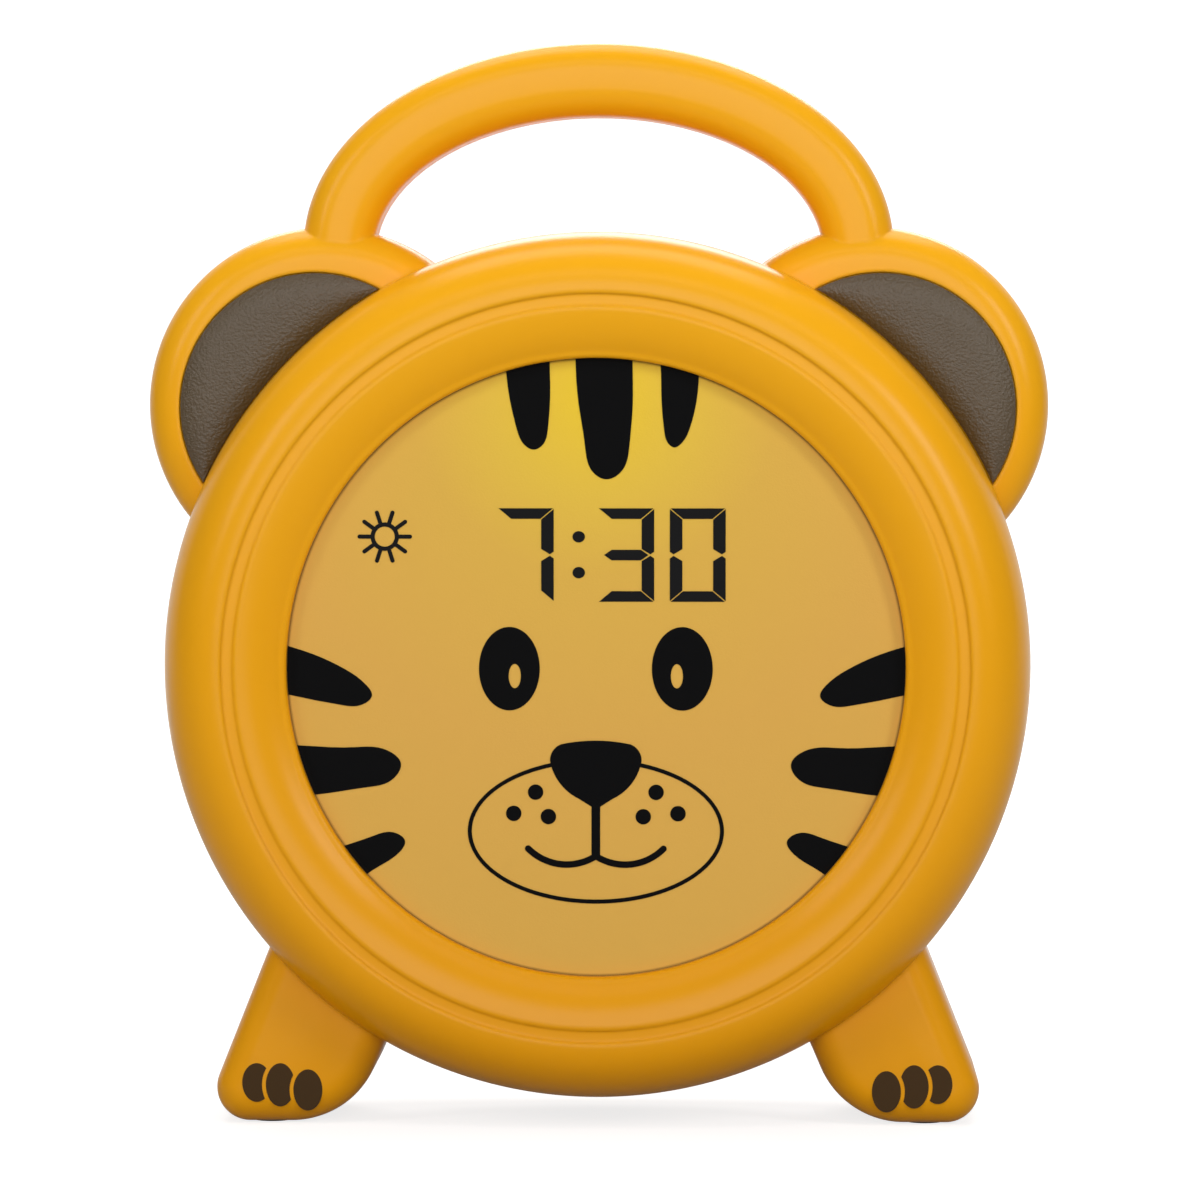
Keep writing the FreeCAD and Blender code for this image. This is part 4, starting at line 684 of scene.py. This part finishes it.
def distance_from(tree, z):
    """How far a surface point lies from a point on the middle line of the face, in metres."""
    place = add(tree, "ShaderNodeTexCoord")
    away = add(tree, "ShaderNodeVectorMath", {1: (0, PANEL_FRONT_Y * MM, z * MM)}, operation="DISTANCE")
    tree.links.new(place.outputs["Object"], away.inputs[0])
    return away.outputs["Value"]


def painted_glow_colour(tree):
    """Painted light: yellow near the top of the face, fading to the plain tone of the panel."""
    share = add(tree, "ShaderNodeMath", {1: 1 / (PAINTED_GLOW_REACH * MM)}, operation="MULTIPLY")
    ramp = add(tree, "ShaderNodeValToRGB")
    tree.links.new(distance_from(tree, PAINTED_GLOW_Z), share.inputs[0])
    tree.links.new(share.outputs["Value"], ramp.inputs["Fac"])
    colours = ramp.color_ramp
    while len(colours.elements) < len(PAINTED_GLOW_STOPS):
        colours.elements.new(0.5)
    for element, (position, colour) in zip(colours.elements, PAINTED_GLOW_STOPS):
        element.position = position
        element.color = linear(colour)
    return ramp.outputs["Color"]


def frosted_face():
    """Frosted polycarbonate, with painted light that makes it yellow near the top, and a painted shadow line
    where it meets the ring.
    """
    material, tree = new_material("frosted_polycarbonate")
    line = add(tree, "ShaderNodeMapRange", {"From Min": SHADOW_LINE_FROM * MM, "From Max": SHADOW_LINE_TO * MM})
    set_values(line, {"To Min": 0.0, "To Max": SHADOW_LINE_STRENGTH})
    edge = add(tree, "ShaderNodeMix", data_type="RGBA")
    set_values(edge, {MIX_SECOND: SHADOW_LINE_COLOUR})
    tree.links.new(distance_from(tree, BODY_Z), line.inputs["Value"])
    tree.links.new(line.outputs["Result"], edge.inputs["Factor"])
    tree.links.new(painted_glow_colour(tree), edge.inputs[MIX_FIRST])
    tree.links.new(edge.outputs[MIX_RESULT], surface(tree).inputs["Base Color"])
    set_values(surface(tree), {"Roughness": 0.6, "Specular IOR Level": 0.2})
    grain(tree, scale=3500.0, distance=0.00003, strength=0.9)
    return material


# %% Grained inserts
def leather():
    """Dark brown soft plastic with a leather grain."""
    material, tree = new_material("brown_grained_plastic")
    set_values(surface(tree), {"Base Color": linear("4C3A1C"), "Roughness": 0.45, "Specular IOR Level": 0.7})
    grain(tree, scale=2000.0, distance=0.0003, strength=0.7)
    return material


# %% Give every piece its material
finishes = {
    "body_shell": amber_shell(),
    "face_diffuser": frosted_face(),
    "insert_skin": leather(),
    "black_ink": plain("black_ink", "060607", 0.6, Specular_IOR_Level=0.06),
    "brown_ink": plain("brown_ink", "3F2A0C", 0.5, Specular_IOR_Level=0.15),
    "display_dark": plain("display_segments", "0A0A0C", 0.5, Specular_IOR_Level=0.1),
    "white_moulding": plain("white_polystyrene", "E8E6E0", 0.45),
    "lamp_resin": plain("lamp_epoxy", "F4E7B0", 0.2),
    "display_cell": plain("display_glass_cell", "8C9486", 0.12),
    "black_moulding": plain("black_abs", "1A1A1B", 0.4),
    "circuit_board": plain("green_board", "1F5B33", 0.4),
    "ribbon_film": plain("ribbon_film", "B87A3A", 0.3),
    "button_cap": plain("button_abs", "D98E12", 0.35),
    "sprung_steel": plain("nickel_plated_steel", "C9C9C6", 0.22, Metallic=1.0),
    "screw_steel": plain("zinc_plated_steel", "AFAFAC", 0.32, Metallic=1.0),
    "speaker_paper": plain("speaker_paper", "2A2826", 0.8),
    "magnet_ferrite": plain("magnet_ferrite", "38383A", 0.6),
    "wire_cover": plain("wire_cover", "A01C18", 0.4),
    "foot_rubber": plain("foot_rubber", "2B2A29", 0.75),
}
slot_of = {part["node"]: part["material_slot"] for part in frame["record"]["subparts"]}
print("slots known for", len(slot_of), "nodes")
for node, obj in frame["nodes"].items():
    if obj.hide_render:
        continue
    if slot_of.get(node) in finishes:
        give(obj, finishes[slot_of[node]])
    else:
        print("no finish for", node)
for node, obj in copies.items():
    give(obj, finishes[slot_of[node]])
for shell in (drum, rear):
    give(shell, finishes["body_shell"])
for pad in pads:
    give(pad, finishes["insert_skin"])
give(panel, finishes["face_diffuser"])
give(sun, finishes["display_dark"])

# %% [markdown]
# ## Studio
# A white sheet runs from the floor up behind the clock. The camera sees it as white, and the floor keeps the
# shadow under the feet. Reflections see the backdrop as white, which gives the pale rims, and the floor in
# front as dim, so the amber keeps its depth. Soft lights stand to the left and right, overhead, in front and
# behind, and a narrow bar hangs close before the top of the face. All these sizes are in metres.

# %% White sheet
SHEET_FRONT_Y, SHEET_BEND_Y, SHEET_BEND_R = -0.6, 1.0, 0.6
SHEET_TOP_Z, SHEET_HALF = 3.0, 3.0
GLOW_NEAR_Y, GLOW_FAR_Y = 0.1, 0.8
SEEN_GLOW = (0.79, 1.0)
REFLECTED_GLOW = (0.1, 0.9)


def sheet_of_paper():
    """The white floor and backdrop in one sweep."""
    section = [(SHEET_FRONT_Y, 0.0), (SHEET_BEND_Y, 0.0)]
    section += quarter((SHEET_BEND_Y, SHEET_BEND_R), SHEET_BEND_R, SHEET_BEND_R, -90, 12)[1:]
    section.append((SHEET_BEND_Y + SHEET_BEND_R, SHEET_TOP_Z))
    vertices = [Vector((side * SHEET_HALF, y, z)) for y, z in section for side in (-1, 1)]
    faces = [(2 * k, 2 * k + 1, 2 * k + 3, 2 * k + 2) for k in range(len(section) - 1)]
    obj = new_object("white_sheet", vertices, faces)
    smooth(obj, degrees=40)
    return obj


def glow_for(tree, ray, glow):
    """The sheet's glow for one kind of ray, from its level near the clock to its level far behind it."""
    path = add(tree, "ShaderNodeLightPath")
    place = add(tree, "ShaderNodeTexCoord")
    parts = add(tree, "ShaderNodeSeparateXYZ")
    depth = add(tree, "ShaderNodeMapRange", {"From Min": GLOW_NEAR_Y, "From Max": GLOW_FAR_Y})
    set_values(depth, {"To Min": glow[0], "To Max": glow[1]})
    share = add(tree, "ShaderNodeMath", operation="MULTIPLY")
    tree.links.new(place.outputs["Object"], parts.inputs["Vector"])
    tree.links.new(parts.outputs["Y"], depth.inputs["Value"])
    tree.links.new(depth.outputs["Result"], share.inputs[0])
    tree.links.new(path.outputs[ray], share.inputs[1])
    return share.outputs["Value"]


def white_paper():
    """White to the eye. Reflections see the backdrop as white and the floor before the clock as dim."""
    material, tree = new_material("white_paper")
    shader = surface(tree)
    set_values(shader, {"Base Color": (0.4, 0.4, 0.4, 1), "Roughness": 0.95})
    set_values(shader, {"Specular IOR Level": 0.0, "Emission Color": (1, 1, 1, 1)})
    brighter = add(tree, "ShaderNodeMath", operation="MAXIMUM")
    tree.links.new(glow_for(tree, "Is Camera Ray", SEEN_GLOW), brighter.inputs[0])
    tree.links.new(glow_for(tree, "Is Glossy Ray", REFLECTED_GLOW), brighter.inputs[1])
    tree.links.new(brighter.outputs["Value"], shader.inputs["Emission Strength"])
    return material


sheet = sheet_of_paper()
give(sheet, white_paper())

# %% Room
ROOM_LIGHT, ROOM_SEEN = 0.19, 1.0
world = bpy.data.worlds.new("dim_room")
bpy.context.scene.world = world
world.use_nodes = True
room = world.node_tree
background = room.nodes["Background"]
set_values(background, {"Color": (1, 1, 1, 1)})
ray = add(room, "ShaderNodeLightPath")
level = add(room, "ShaderNodeMapRange", {"To Min": ROOM_LIGHT, "To Max": ROOM_SEEN})
room.links.new(ray.outputs["Is Camera Ray"], level.inputs["Value"])
room.links.new(level.outputs["Result"], background.inputs["Strength"])


# %% Lights
def softbox(name, place, aim, width, height, power):
    """A rectangular studio light turned towards a point."""
    data = bpy.data.lights.new(name, "AREA")
    data.shape = "RECTANGLE"
    data.size = width
    data.size_y = height
    data.energy = power
    obj = bpy.data.objects.new(name, data)
    bpy.context.scene.collection.objects.link(obj)
    obj.location = place
    obj.rotation_euler = (Vector(aim) - Vector(place)).to_track_quat("-Z", "Y").to_euler()


MIDDLE = (0, 0, 0.09)
for side, name, power in ((-1, "key_left", 1.0), (1, "key_right", 1.55)):
    softbox(name, (side * 0.57, -0.52, 0.43), (0, 0, 0.08), width=0.16, height=0.34, power=power)
softbox("top", (0, 0.25, 1.1), MIDDLE, width=0.9, height=0.6, power=6.0)
softbox("front", (0, -1.7, 0.45), MIDDLE, width=1.2, height=0.9, power=11.6)
softbox("front_bar", (0, -0.3, 0.42), (0, -0.02, 0.13), width=0.5, height=0.08, power=0.25)
softbox("back", (0, 0.95, 0.75), MIDDLE, width=0.8, height=0.4, power=5.0)

# %% Camera
AIM = (0.0002, -0.002, 0.0928)
DISTANCE = 1.1
azimuth, elevation = math.radians(1.5), math.radians(2.5)
camera_data = bpy.data.cameras.new("camera")
camera_data.sensor_width = 36.0
camera_data.lens = 184.4
camera_data.clip_start = 0.05
camera_data.clip_end = 50.0
camera = bpy.data.objects.new("camera", camera_data)
bpy.context.scene.collection.objects.link(camera)
back = Vector(
    (
        math.sin(azimuth) * math.cos(elevation),
        -math.cos(azimuth) * math.cos(elevation),
        math.sin(elevation),
    )
)
camera.location = Vector(AIM) + back * DISTANCE
camera.rotation_mode = "QUATERNION"
camera.rotation_quaternion = (-back).to_track_quat("-Z", "Y")
bpy.context.scene.camera = camera
bpy.context.scene.view_settings.view_transform = "Standard"
